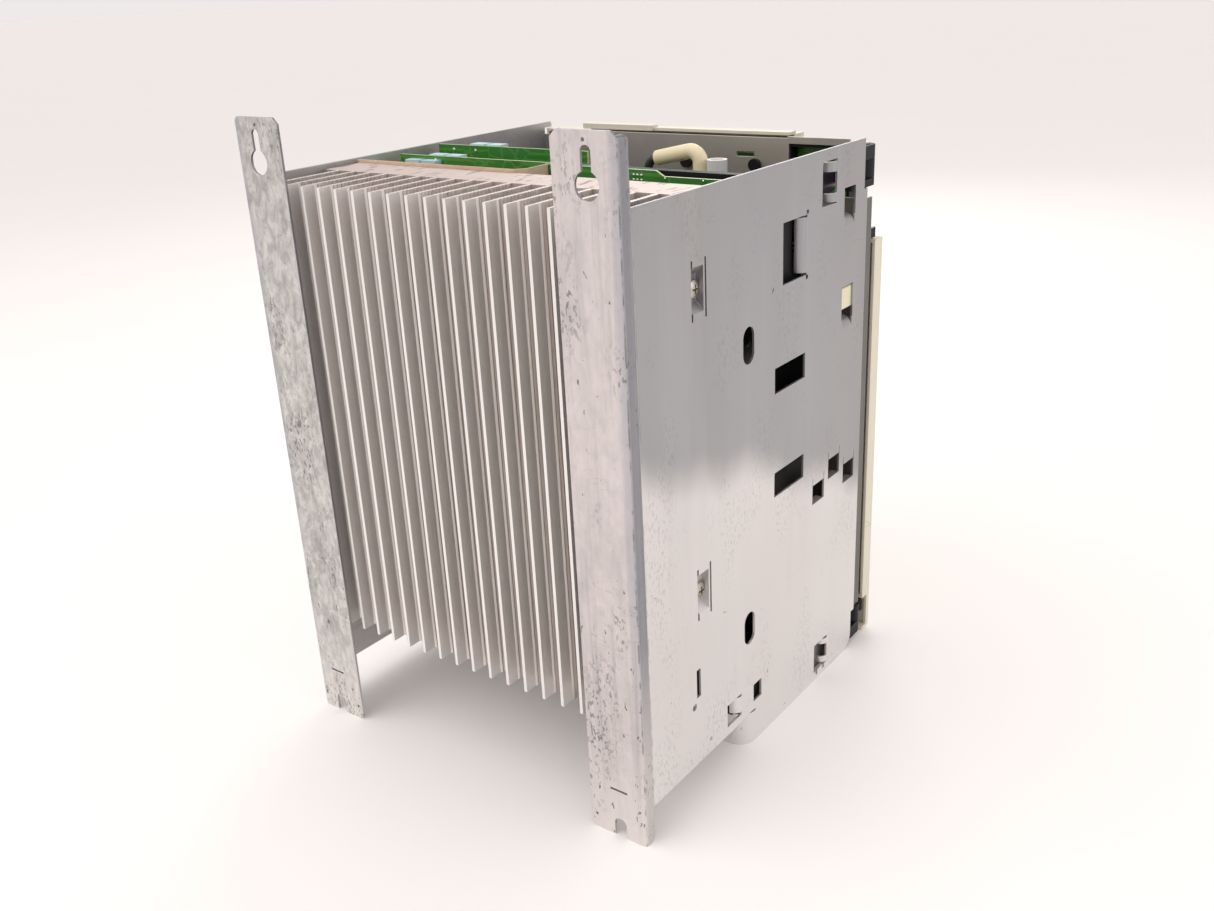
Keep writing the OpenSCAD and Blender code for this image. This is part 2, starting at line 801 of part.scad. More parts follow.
// Round tube swept along a path that never runs parallel to the side vector
module tube(path, r, side, sides = 12) {
    rings = len(path);
    points = [for (i = [0:rings - 1]) each
        let (t = heading(path, i), u = unit(cross(t, side)), v = cross(u, t))
        [for (k = [0:sides - 1])
            path[i] + r * (cos(360 * k / sides) * u + sin(360 * k / sides) * v)]];
    walls = [for (i = [0:rings - 2]) for (k = [0:sides - 1])
        let (next = (k + 1) % sides)
        [i * sides + k, i * sides + next, (i + 1) * sides + next, (i + 1) * sides + k]];
    ends = [[for (k = [sides - 1:-1:0]) k],
        [for (k = [0:sides - 1]) (rings - 1) * sides + k]];
    polyhedron(points, concat(walls, ends));
}

module lead_sleeve() {
    color("wheat") tube(sleeve_route, 4.7, [0, 1, 0], 24);
}

// The lead shows below the sleeve and again where it leaves the sleeve's end
module sleeved_lead() {
    color("dimgray") {
        rod_z(sleeve_x, sleeve_d, [296, sleeve_bottom], 3);
        tube([for (p = lead_exit) sleeve_end + p], 2.8, [0, 1, 0], 16);
    }
}

module red_leads() {
    color("red") for (turns = lead_turns) {
        route = [for (p = turns) [p[0], y_at(p[1]), p[2]]];
        tube(softened(softened(route)), 1.4, [1, 0, 0], 8);
    }
}

module cable_clamp() {
    color("wheat") difference() {
        union() {
            block([-inner_x, -inner_x + 2], [221, 246], [250, 263]);
            block([-inner_x, -113], [227, 239], [250, 263]);
        }
        rod_z(-120, 233, [249, 264], 3.5);
    }
}

// ---- front hinge --------------------------------------------------------------------

// Knuckle round the carrier's hinge axis
module knuckle(z) {
    rod_z(hinge_x, hinge_d, z, knuckle_r);
}

// Chassis side of a hinge: an arm behind the panel and a knuckle at each given height
module hinge_block(arm_z, knuckles) {
    arm_d = [238, panel_front + 0.4];
    color("black") difference() {
        union() {
            block([-inner_x, -hinge_arm_x], [arm_d[0], 256.8], arm_z);
            for (z = knuckles) {
                knuckle(z);
                block([-half_w, hinge_x + knuckle_r], [arm_d[1], hinge_d], z);
            }
        }
        for (z = knuckles)
            rod_z(hinge_x, hinge_d, [z[0] - 1, z[1] + 1], hinge_pin_r);
    }
}

module hinge_block_upper() {
    hinge_block([320.5, 345], [[320.5, 325], [337, 345]]);
}

module hinge_block_lower() {
    hinge_block([5, 14], [[5, 14]]);
}

module hinge_pins() {
    color("silver") for (z = [[320.5, 345], [5, 27]]) {
        rod_z(hinge_x, hinge_d, z, hinge_pin_r);
        rod_z(hinge_x, hinge_d, [z[1], z[1] + 1.2], hinge_pin_r + 1);
    }
}

// ---- swing-out carrier --------------------------------------------------------------

module carrier_plate() {
    color("tan") difference() {
        union() {
            face_sheet([plate_d, plate_d + plate_t]) {
                rect([-131, carrier_right], [27.3, 313]);
                rect([-77, carrier_right], [312, carrier_top]);
                rect([-118.8, -76], [344, carrier_top + 1]);
            }
            block([-131, -129.5], [plate_d, fold_front], [27.3, 313]);
            block([carrier_right - sheet, carrier_right], [plate_d, fold_front],
                [27.3, carrier_top]);
            block([-103.5, carrier_right], [plate_d, fold_front], [27.3, 28.8]);
            for (z = latch_z) {
                block([carrier_right - sheet, carrier_right], [plate_d, 271.8],
                    [z - 10, z + 10]);
                block([carrier_right - sheet, latch_x + 6], [270.3, 271.8],
                    [z - 10, z + 10]);
            }
        }
        for (p = stud_spots) rod_d(p[0], [plate_d - 1, plate_d + plate_t + 1], p[1], 1.9);
        block([-52, -39], [plate_d - 1, plate_d + plate_t + 1], [335, 338]);
        for (z = latch_z) rod_d(latch_x, [270, 272], z, 2.5);
    }
}

module carrier_knuckle_upper() {
    z = [325.4, 336.6];
    color("black") difference() {
        union() {
            knuckle(z);
            block([hinge_x, housing_x[0]], [plate_d + plate_t, hinge_d + 4], z);
        }
        rod_z(hinge_x, hinge_d, [z[0] - 1, z[1] + 1], hinge_pin_r + running_gap);
    }
    // ear that carries the upper pivot of the front cover
    color("black") difference() {
        union() {
            rod_z(cover_axis_x, cover_axis_d, [286, 292], 2.6);
            block([cover_axis_x - 2.3, cover_axis_x + 6], [plate_d + plate_t, cover_axis_d],
                [286, 292]);
        }
        rod_z(cover_axis_x, cover_axis_d, [285, 293], cover_pin_r);
    }
}

module carrier_knuckle_lower() {
    z = [14.4, 27];
    color("black") difference() {
        union() {
            knuckle(z);
            block([hinge_x, -104], [plate_d + plate_t, hinge_d + 2], [z[0], 27.3]);
            block([-128.8, -104], [plate_d + plate_t, hinge_d + 2], [27, 44]);
            rod_z(cover_axis_x, cover_axis_d, [16, 26], 2.6);
            block([cover_axis_x - 1, cover_axis_x + 5], [hinge_d, cover_axis_d], [16, 26]);
        }
        rod_z(hinge_x, hinge_d, [z[0] - 1, z[1] + 2], hinge_pin_r + running_gap);
        rod_z(hinge_x, hinge_d, [z[1], z[1] + 2], hinge_pin_r + 1.4);
        rod_z(cover_axis_x, cover_axis_d, [15, 27], cover_pin_r);
    }
}

module cover_hinge_pins() {
    color("silver") for (z = [[281.5, 292], [16, 31]])
        rod_z(cover_axis_x, cover_axis_d, z, cover_pin_r);
}

module board_studs() {
    color("black") for (p = stud_spots) {
        rod_d(p[0], [plate_d - 3, plate_d], p[1], 4);
        rod_d(p[0], [plate_d - eps, plate_d + plate_t + eps], p[1], 1.9);
        rod_d(p[0], [plate_d + plate_t, board_d], p[1], 3.5);
        rod_d(p[0], [board_d - eps, board_d + board_t + 1.5], p[1], 1.9);
    }
}

module control_board() {
    color("forestgreen") difference() {
        face_sheet([board_d, board_d + board_t])
            polygon([[-110, 40], [110, 40], [110, 336], [-68, 336], [-68, 280], [-110, 280]]);
        for (p = stud_spots) rod_d(p[0], [board_d - 1, board_d + board_t + 1], p[1], 1.9);
        rod_d(cover_latch_x, [board_d - 1, board_d + board_t + 1], cover_latch_z, 6);
    }
}

module control_chips() {
    front = board_d + board_t;
    color("black") {
        block([-40, -8], [front, front + 4], [190, 222]);
        block([6, 36], [front, front + 3.5], [196, 220]);
        for (z = [236, 254]) for (x = [-60:30:60])
            block([x - 10, x + 10], [front, front + 4], [z - 4, z + 4]);
        for (x = [-80, -52, 40, 68])
            block([x - 9, x + 9], [front, front + 4], [150, 158]);
    }
}

// Two rows of plug-in signal terminals along the lower edge of the control board
module signal_terminals() {
    front = board_d + board_t;
    color("seagreen") for (z = [46, 72]) for (x = [-86, -34, 18, 70]) difference() {
        block([x - 24, x + 24], [front, front + 10.5], [z, z + 12]);
        for (k = [0:8]) rod_d(x - 20 + 5 * k, [front + 4, front + 12], z + 6, 1.6);
    }
}

module service_port() {
    front = board_d + board_t;
    color("silver") difference() {
        union() {
            block([52, 84], [front, front + 4], [306, 320]);
            block([58, 78], [front + 4 - eps, front + 10], [308.5, 317.5]);
        }
        block([60, 76], [front + 5, front + 11], [310, 316]);
    }
}

module cover_post() {
    color("silver") difference() {
        rod_d(cover_latch_x, [plate_d + plate_t, 278], cover_latch_z, 5);
        rod_d(cover_latch_x, [265, 279], cover_latch_z, 3.4);
    }
}

// ---- operator panel -----------------------------------------------------------------

module operator_housing() {
    t = 1.8;
    color("darkslategray") difference() {
        block(housing_x, [plate_d + plate_t, housing_front], housing_z);
        block([housing_x[0] + t, housing_x[1] - t],
            [plate_d + plate_t - 1, housing_front - t],
            [housing_z[0] + t, housing_z[1] - t]);
        block([-114, -81], [housing_front - t - 1, housing_front + 1], [318, 336]);
        for (x = key_x)
            block([x - 4.5, x + 4.5], [housing_front - t - 1, housing_front + 1],
                [key_z - 3.5, key_z + 3.5]);
    }
}

module display_window() {
    color("darkred")
        block([-114, -81], [housing_front - 1.8, housing_front - 0.4], [318, 336]);
}

module key_board() {
    d = housing_front - 12;
    color("forestgreen") block([housing_x[0] + 1.8, housing_x[1] - 1.8], [d, d + board_t],
        [290, 341]);
    color("black") for (x = key_x)
        block([x - 3, x + 3], [d + board_t - eps, housing_front - 5.2], [key_z - 3, key_z + 3]);
    color("black") block([-112, -83], [d + board_t - eps, housing_front - 2.4], [320, 334]);
}

// Key cap with a retaining flange behind the housing wall
module key_cap(x) {
    color("lightgray") {
        block([x - 4.2, x + 4.2], [housing_front - 3, housing_front + key_travel + key_proud],
            [key_z - 3.2, key_z + 3.2]);
        block([x - 5.6, x + 5.6], [housing_front - 3.9, housing_front - 2.2],
            [key_z - 4.6, key_z + 4.6]);
    }
}

module key_down() {
    key_cap(key_x[0]);
}

module key_up() {
    key_cap(key_x[1]);
}

module key_program() {
    key_cap(key_x[2]);
}

// ---- front cover ---------------------------------------------------------------------

module cover_outline() {
    rect([cover_left, cover_right], [2, shoulder_z]);
    rect([-75, cover_right], [shoulder_z - 1, 346]);
    rect([-75, 88], [345, panel_top - cover_t + eps]);
}

module front_cover() {
    t = cover_t;
    side_rear = 272.3;
    crest = panel_top - t + eps;
    color("beige") difference() {
        union() {
            face_sheet([cover_face - t, cover_face]) cover_outline();
            block([cover_left, cover_left + t], [cover_rear, cover_face - eps],
                [31, shoulder_z]);
            block([cover_left, cover_left + t], [279, cover_face - eps], [2, 31 + eps]);
            block([cover_left, -75 + t], [cover_rear, cover_face - eps],
                [shoulder_z - t, shoulder_z]);
            block([-75, -75 + t], [cover_rear, cover_face - eps],
                [shoulder_z - t, crest]);
            block([-75, 88], [top_strip_front - 2, cover_face - eps], [crest - t, crest]);
            block([-75, 88], [263, top_strip_front], [panel_top - t, panel_top]);
            block([29, 88], [261, 268.5], [panel_top - t, panel_top + 1.6]);
            block([88 - t, 88], [side_rear, cover_face - eps], [346 - t, crest]);
            block([88 - t, cover_right], [side_rear, cover_face - eps], [346 - t, 346]);
            block([cover_right - t, cover_right], [side_rear, cover_face - eps], [2, 346]);
            block([cover_left, cover_right], [side_rear, cover_face - eps], [2, 2 + t]);
            block([cover_left, -120], [side_rear, cover_face - eps], [28, 31]);
        }
        for (z = [[27, 32], [282, 286]])
            rod_z(cover_axis_x, cover_axis_d, z, cover_pin_r + running_gap);
        rod_d(cover_latch_x, [cover_face - t - 1, cover_face + 1], cover_latch_z, 2.5);
        rod_d(cover_latch_x, [cover_face - 1, cover_face + 1], cover_latch_z, 7);
        for (x = [-100:10:100])
            block([x - 2, x + 2], [cover_face - t - 1, cover_face + 1], [12, 30]);
    }
}

// Quarter-turn fastener: slotted head from d_seat forward, shank back to d_end
module quarter_turn(x, z, d_seat, d_end, head_h) {
    color("silver") {
        difference() {
            rod_d(x, [d_seat, d_seat + head_h], z, 5);
            block([x - 6, x + 6], [d_seat + head_h - 1.1, d_seat + head_h + 1],
                [z - 0.7, z + 0.7]);
        }
        rod_d(x, [d_end, d_seat + eps], z, 2.45);
    }
}

module cover_latch() {
    quarter_turn(cover_latch_x, cover_latch_z, cover_face - 1, 270, 0.9);
}

module carrier_latch_lower() {
    quarter_turn(latch_x, latch_z[0], 271.8, 264, 4);
}

module carrier_latch_upper() {
    quarter_turn(latch_x, latch_z[1], 271.8, 264, 4);
}

mounting_rail_left();
mounting_rail_right();
side_panel_left();
side_panel_right();
heat_sink();
heat_sink_screws();
thyristor_module_1();
thyristor_module_2();
thyristor_module_3();
field_rectifier();
module_screws();
supply_busbars();
armature_busbars();
current_transformers();
power_terminal_block();
power_terminal_bolts();
terminal_bracket();
bottom_plate();
ground_stud();
insulating_shroud();
board_spacers();
snubber_board();
gate_board();
supply_board();
board_connectors();
film_capacitors();
pulse_transformers();
electrolytic_capacitors();
card_rail();
potted_transformer();
filter_board();
ring_capacitor();
sleeved_capacitor();
lead_sleeve();
sleeved_lead();
red_leads();
cable_clamp();
hinge_block_upper();
hinge_block_lower();
hinge_pins();
carrier_plate();
carrier_knuckle_upper();
carrier_knuckle_lower();
cover_hinge_pins();
board_studs();
control_board();
control_chips();
signal_terminals();
service_port();
cover_post();
operator_housing();
display_window();
key_board();
key_down();
key_up();
key_program();
front_cover();
cover_latch();
carrier_latch_lower();
carrier_latch_upper();
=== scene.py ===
"""Looks of a wall-mounted servo drive: a zinc-coated chassis round a finned heat sink,
with circuit boards inside, a swing-out carrier and a beige cover on the front."""
import json
import math

import bmesh
import bpy
from mathutils import Matrix, Vector


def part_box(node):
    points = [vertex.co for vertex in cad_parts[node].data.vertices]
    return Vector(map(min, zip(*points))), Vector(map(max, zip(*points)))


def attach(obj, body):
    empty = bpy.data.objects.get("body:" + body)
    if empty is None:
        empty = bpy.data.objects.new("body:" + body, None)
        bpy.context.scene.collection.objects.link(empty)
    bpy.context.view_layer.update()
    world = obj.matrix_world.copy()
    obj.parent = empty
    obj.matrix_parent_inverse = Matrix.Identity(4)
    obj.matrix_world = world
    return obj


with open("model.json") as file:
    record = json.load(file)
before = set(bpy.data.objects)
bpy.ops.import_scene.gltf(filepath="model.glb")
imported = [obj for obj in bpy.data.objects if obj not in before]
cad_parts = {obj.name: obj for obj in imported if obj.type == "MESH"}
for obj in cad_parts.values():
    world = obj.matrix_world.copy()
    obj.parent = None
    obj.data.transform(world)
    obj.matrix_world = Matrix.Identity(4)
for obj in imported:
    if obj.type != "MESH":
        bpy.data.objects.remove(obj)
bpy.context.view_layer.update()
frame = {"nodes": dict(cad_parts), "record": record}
scene = bpy.context.scene
MM = 0.001
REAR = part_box("mounting_rail_left")[1].y


def at(x, depth, z):
    """Point from millimetres: across, forward of the rear mounting plane, up."""
    return Vector((x * MM, REAR - depth * MM, z * MM))


def extent(node):
    """Lowest and highest x, depth and z of a CAD node, in millimetres."""
    low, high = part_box(node)
    return ((low.x / MM, high.x / MM), ((REAR - high.y) / MM, (REAR - low.y) / MM),
            (low.z / MM, high.z / MM))


PANEL_LEFT = extent("side_panel_left")[0][0]
SINK_REAR = extent("heat_sink")[1][0]

# Places that the materials change at, in metres
HALF_WIDTH = -PANEL_LEFT * MM
PANEL_SEAM = (extent("mounting_rail_left")[1][1] + 0.4) * MM
CARRIER_LEFT = extent("carrier_plate")[0][0] * MM
TIPS_TO_RIBS = (SINK_REAR + 8.5) * MM, (SINK_REAR + 9.5) * MM
FINS_TO_SLAB = (SINK_REAR + 49) * MM, (SINK_REAR + 53) * MM
SHEET_ROUNDING = 0.0005


# ---- camera ----------------------------------------------------------------------

CAMERA_AT = Vector((-0.4441, 0.5649, 0.4457))
CAMERA_RIGHT = Vector((-0.80351, -0.59337, -0.04783))
CAMERA_UP = Vector((0.18601, -0.32658, 0.92669))
LENS_MM = 35.1
SENSOR_MM = 36.0


def add_camera():
    data = bpy.data.cameras.new("camera")
    data.lens = LENS_MM
    data.sensor_width = SENSOR_MM
    data.clip_start = 0.01
    data.clip_end = 200
    camera = bpy.data.objects.new("camera", data)
    right = CAMERA_RIGHT.normalized()
    up = (CAMERA_UP - right * CAMERA_UP.dot(right)).normalized()
    back = right.cross(up)
    turn = Matrix((right, up, back)).transposed().to_4x4()
    camera.matrix_world = Matrix.Translation(CAMERA_AT) @ turn
    scene.collection.objects.link(camera)
    scene.camera = camera


# ---- node materials --------------------------------------------------------------


class Shader:
    """A Principled material written as calls: each call adds a node and gives its output."""

    def __init__(self, name, **constants):
        self.material = bpy.data.materials.new(name)
        self.material.use_nodes = True
        self.tree = self.material.node_tree
        self.tree.nodes.clear()
        self.surface = self.tree.nodes.new("ShaderNodeBsdfPrincipled")
        output = self.tree.nodes.new("ShaderNodeOutputMaterial")
        self.tree.links.new(self.surface.outputs[0], output.inputs["Surface"])
        self.place = self.tree.nodes.new("ShaderNodeTexCoord")
        for socket, value in constants.items():
            self.set(socket.replace("_", " "), value)

    def set(self, socket, value):
        """Feeds a shader socket with a number, a colour or another node's output."""
        target = self.surface.inputs[socket]
        if isinstance(value, bpy.types.NodeSocket):
            self.tree.links.new(value, target)
        elif hasattr(value, "__len__") and len(value) == 3:
            target.default_value = (*value, 1)
        else:
            target.default_value = value

    def node(self, kind, inputs=None, out=0, **settings):
        made = self.tree.nodes.new("ShaderNode" + kind)
        for key, value in settings.items():
            setattr(made, key, value)
        for key, value in (inputs or {}).items():
            if isinstance(value, bpy.types.NodeSocket):
                self.tree.links.new(value, made.inputs[key])
            else:
                made.inputs[key].default_value = value
        return made.outputs[out]

    @property
    def position(self):
        return self.place.outputs["Object"]

    @property
    def normal(self):
        return self.place.outputs["Normal"]

    def stretched(self, x, y, z):
        """Position with each axis scaled, so that a pattern runs long along a small one."""
        return self.node("Mapping", {"Vector": self.position, "Scale": (x, y, z)})

    def axis(self, vector, name):
        return self.node("SeparateXYZ", {"Vector": vector}, out=name)

    def depth(self):
        """Distance forward of the rear mounting plane, in metres."""
        return self.math("SUBTRACT", REAR, self.axis(self.position, "Y"))

    def height(self):
        return self.axis(self.position, "Z")

    def noise(self, where, scale, detail=4.0, roughness=0.55, distortion=0.0):
        return self.node("TexNoise", {"Vector": where, "Scale": scale, "Detail": detail,
                                      "Roughness": roughness, "Distortion": distortion})

    def cells(self, where, scale, out="Distance", feature="F1"):
        return self.node("TexVoronoi", {"Vector": where, "Scale": scale}, out=out,
                         feature=feature)

    def math(self, operation, a, b=0.0):
        return self.node("Math", {0: a, 1: b}, operation=operation)

    def times(self, a, b):
        return self.math("MULTIPLY", a, b)

    def between(self, value, low, high, to_low=0.0, to_high=1.0):
        """Value rescaled from low..high to to_low..to_high, clamped."""
        return self.node("MapRange", {"Value": value, "From Min": low, "From Max": high,
                                      "To Min": to_low, "To Max": to_high})

    def near(self, value, middle, reach):
        """1 where value is at middle, falling to 0 at reach to either side."""
        off = self.math("ABSOLUTE", self.math("SUBTRACT", value, middle))
        return self.between(off, 0.0, reach, 1, 0)

    def blend(self, factor, a, b):
        """Colour a where factor is 0 and b where it is 1."""
        made = self.tree.nodes.new("ShaderNodeMix")
        made.data_type = "RGBA"
        for key, value in (("Factor", factor), ("A", a), ("B", b)):
            socket = next(s for s in made.inputs if s.name == key and s.enabled)
            if isinstance(value, bpy.types.NodeSocket):
                self.tree.links.new(value, socket)
            elif hasattr(value, "__len__"):
                socket.default_value = (*value, 1)
            else:
                socket.default_value = value
        return next(s for s in made.outputs if s.enabled)

    def rounded(self, radius):
        return self.node("Bevel", {"Radius": radius}, samples=4)

    def edges(self, radius):
        """1 along the sharp edges of the mesh, 0 on its faces."""
        true = self.node("NewGeometry", out="Normal")
        bent = self.node("VectorMath", {0: self.rounded(radius), 1: true}, out="Value",
                         operation="DOT_PRODUCT")
        return self.between(bent, 0.8, 0.99, 1, 0)

    def bump(self, height, distance, strength=1.0, after=None):
        inputs = {"Height": height, "Distance": distance, "Strength": strength}
        if after is not None:
            inputs["Normal"] = after
        return self.node("Bump", inputs)

    def facing(self, name, low=0.7, high=0.9):
        """1 on faces square to an axis of the object, 0 elsewhere."""
        along = self.math("ABSOLUTE", self.axis(self.normal, name))
        return self.between(along, low, high)


def painted_edge_highlight(s, colour, strength):
    """Painted highlight: the sharp edges of a sheet are coloured lighter than its faces."""
    amount = s.times(s.edges(SHEET_ROUNDING), strength)
    return s.blend(amount, colour, (0.84, 0.82, 0.80))


def specks(s, colour, scale, level, strength=0.8):
    """Small dark pits and dirt, more of them toward the bottom."""
    field = s.noise(s.stretched(1, 1, 0.45), scale, 3, 0.6, 0.4)
    limit = s.between(s.height(), 0.0, 0.17, level, level + 0.05)
    return s.blend(s.times(s.math("GREATER_THAN", field, limit), strength),
                   colour, (0.11, 0.10, 0.095))


def scratches(s, colour, where, scale, strength):
    """Thin dark hairlines that wander along the smallest scale of where."""
    field = s.noise(where, scale, 2, 0.5, 1.2)
    line = s.near(field, 0.5, 0.004)
    patch = s.between(s.noise(s.position, 9, 2), 0.5, 0.62)
    return s.blend(s.times(s.times(line, patch), strength), colour, (0.20, 0.19, 0.18))


def grime(s, colour, strength):
    """Patches of fine black pits, where damp has stood on the zinc."""
    patches = s.between(s.noise(s.stretched(1, 1, 0.5), 30, 2), 0.50, 0.64)
    pits = s.between(s.noise(s.stretched(1, 1, 0.5), 640, 2, 0.5), 0.56, 0.62)
    return s.blend(s.times(s.times(patches, pits), strength), colour, (0.15, 0.14, 0.13))


def zinc_panel(name, reflected_dark=(0.36, 0.357, 0.357), reflected_light=(0.72, 0.70, 0.68)):
    """Smooth zinc-coated side sheet, cloudy blue-grey, with a painted reflection: darker above
    a slanted line and lighter below it.
    """
    s = Shader(name, Metallic=0.72)
    clouds = s.noise(s.stretched(1, 1, 0.5), 11, 3)
    wisps = s.noise(s.stretched(26, 26, 1.6), 1.5, 4, 0.6)
    # Painted reflection: above a line that slopes with depth the sheet is coloured dark, as if
    # it mirrored the darker room, and below it light, as if it mirrored the table. The tint and
    # cloud colours follow the same painted split.
    slope, reflected_light_below, reflected_dark_above = 0.36, 0.208, 0.240
    warped = s.math("ADD", s.height(), s.times(s.depth(), slope))
    warped = s.math("ADD", warped, s.between(clouds, 0.25, 0.75, -0.012, 0.012))
    painted_reflection = s.node("MapRange", {"Value": warped, "From Min": reflected_light_below,
                                  "From Max": reflected_dark_above, "To Min": 1.0, "To Max": 0.0},
                     interpolation_type="SMOOTHSTEP")
    colour = s.blend(painted_reflection, reflected_dark, reflected_light)
    tint = s.between(s.noise(s.stretched(14, 14, 1), 1.2, 2), 0.4, 0.62, 0, 0.5)
    colour = s.blend(tint, colour, s.blend(painted_reflection, (0.38, 0.385, 0.41), (0.70, 0.66, 0.65)))
    colour = s.blend(s.between(clouds, 0.5, 0.72, 0, 0.25), colour,
                     s.blend(painted_reflection, (0.30, 0.30, 0.30), (0.60, 0.60, 0.58)))
    colour = s.blend(s.between(wisps, 0.52, 0.75, 0, 0.22), colour, (0.52, 0.52, 0.52))
    # Painted reflection of the pale table: lighter toward the bottom edge.
    colour = s.blend(s.between(s.height(), 0.02, 0.10, 0.5, 0), colour, (0.86, 0.84, 0.82))
    seam = s.times(s.near(s.depth(), PANEL_SEAM, 0.0006),
                   s.between(s.noise(s.stretched(1, 1, 30), 3, 2), 0.46, 0.6))
    colour = s.blend(s.times(seam, 0.6), colour, (0.14, 0.14, 0.14))
    colour = grime(s, colour, 0.22)
    colour = specks(s, colour, 240, 0.715)
    colour = scratches(s, colour, s.stretched(1, 1, 5), 10, 0.45)
    s.set("Base Color", painted_edge_highlight(s, colour, 0.7))
    s.set("Roughness", s.between(clouds, 0.25, 0.75, 0.34, 0.46))
    s.set("Normal", s.bump(wisps, 0.0002, 0.12, s.rounded(SHEET_ROUNDING)))
    return s.material


def zinc_rail(name, spangle, pale, patch, streak):
    """Rear mounting rail: spangled or scuffed flange and a strip round the bend, with painted
    reflection and shade: lighter toward the bottom, a bluish tint and a broken dark line at the
    bend.
    """
    s = Shader(name, Metallic=0.7)
    flange = s.facing("Y", 0.25, 0.8)
    blotches = s.noise(s.stretched(1, 1, 0.5), 170, 6, 0.7, 0.8)
    streaks = s.noise(s.stretched(90, 90, 2.6), 2.2, 5, 0.65)
    broad = s.noise(s.stretched(1, 1, 0.35), 42, 3)
    crystal = s.axis(s.cells(s.stretched(1, 1, 0.7), 230, "Color"), "X")

    face = s.blend(s.between(blotches, 0.40, 0.66, 0, spangle), pale, patch)
    face = s.blend(s.between(crystal, 0.55, 1.0, 0, 0.4 * spangle), face, patch)
    face = s.blend(s.between(streaks, 0.5, 0.72, 0, streak), face, (0.36, 0.35, 0.35))
    face = s.blend(s.between(broad, 0.5, 0.68, 0, 0.35), face, (0.46, 0.44, 0.44))
    # Painted reflection: the strip is coloured dark blue-grey above and lighter below, as if it
    # mirrored the table.
    low = s.between(s.height(), 0.05, 0.13, 1, 0)
    strip = s.blend(low, (0.27, 0.27, 0.29), (0.60, 0.57, 0.55))
    strip = s.blend(s.between(streaks, 0.5, 0.75, 0, 0.4), strip, (0.46, 0.46, 0.48))
    # Painted reflection of the table: the flange face is lighter toward the bottom.
    face = s.blend(s.between(s.height(), 0.0, 0.07, 0.6, 0), face, (0.86, 0.81, 0.79))
    # Painted reflection and shade of a rounder bend: a bluish tint on the flange next to the
    # bend, and a broken dark line along it.
    outward = s.math("ABSOLUTE", s.axis(s.position, "X"))
    rim = s.times(s.between(outward, HALF_WIDTH - 0.006, HALF_WIDTH - 0.003, 0, 0.55),
                  s.between(s.height(), 0.05, 0.16))
    face = s.blend(rim, face, (0.40, 0.41, 0.46))
    colour = s.blend(flange, strip, face)
    bend_shade = s.times(s.near(outward, HALF_WIDTH - 0.0006, 0.0004),
                     s.between(s.noise(s.stretched(1, 1, 30), 3, 2), 0.44, 0.56, 0, 0.75))
    colour = s.blend(bend_shade, colour, (0.10, 0.10, 0.10))
    colour = grime(s, colour, 0.7)
    colour = specks(s, colour, 330, 0.66)
    colour = scratches(s, colour, s.stretched(1, 1, 7), 16, 0.6)
    s.set("Base Color", painted_edge_highlight(s, colour, 0.6))
    rough = s.between(blotches, 0.3, 0.7, 0.38, 0.5)
    s.set("Roughness", s.math("ADD", rough, s.between(crystal, 0, 1, -0.05, 0.06)))
    relief = s.math("ADD", s.times(blotches, 0.6), s.times(streaks, 0.35))
    s.set("Normal", s.bump(relief, 0.0004, 0.3, s.rounded(SHEET_ROUNDING)))
    return s.material


def zinc_inner(name, colour, shade, fold_shade=None):
    """Plain zinc-coated sheet of inner parts: satin, cloudy, with faint rolling lines.

    The fold colour is painted shade: it darkens the outer side of the carrier's left-hand fold
    over its last few millimetres.
    """
    s = Shader(name, Metallic=0.75)
    clouds = s.noise(s.position, 24, 4)
    lines = s.noise(s.stretched(3, 3, 220), 1.4, 3)
    base = s.blend(s.between(clouds, 0.35, 0.68), colour, shade)
    base = s.blend(s.between(lines, 0.5, 0.7, 0, 0.25), base, (0.52, 0.50, 0.47))
    base = specks(s, base, 330, 0.71)
    if fold_shade:
        painted_fold_shade = s.between(s.axis(s.position, "X"), CARRIER_LEFT + 0.0005,
                           CARRIER_LEFT + 0.003, 0.9, 0)
        base = s.blend(painted_fold_shade, base, fold_shade)
    s.set("Base Color", painted_edge_highlight(s, base, 0.6))
    s.set("Roughness", s.between(clouds, 0.3, 0.7, 0.38, 0.5))
    s.set("Normal", s.bump(lines, 0.0002, 0.12, s.rounded(SHEET_ROUNDING)))
    return s.material


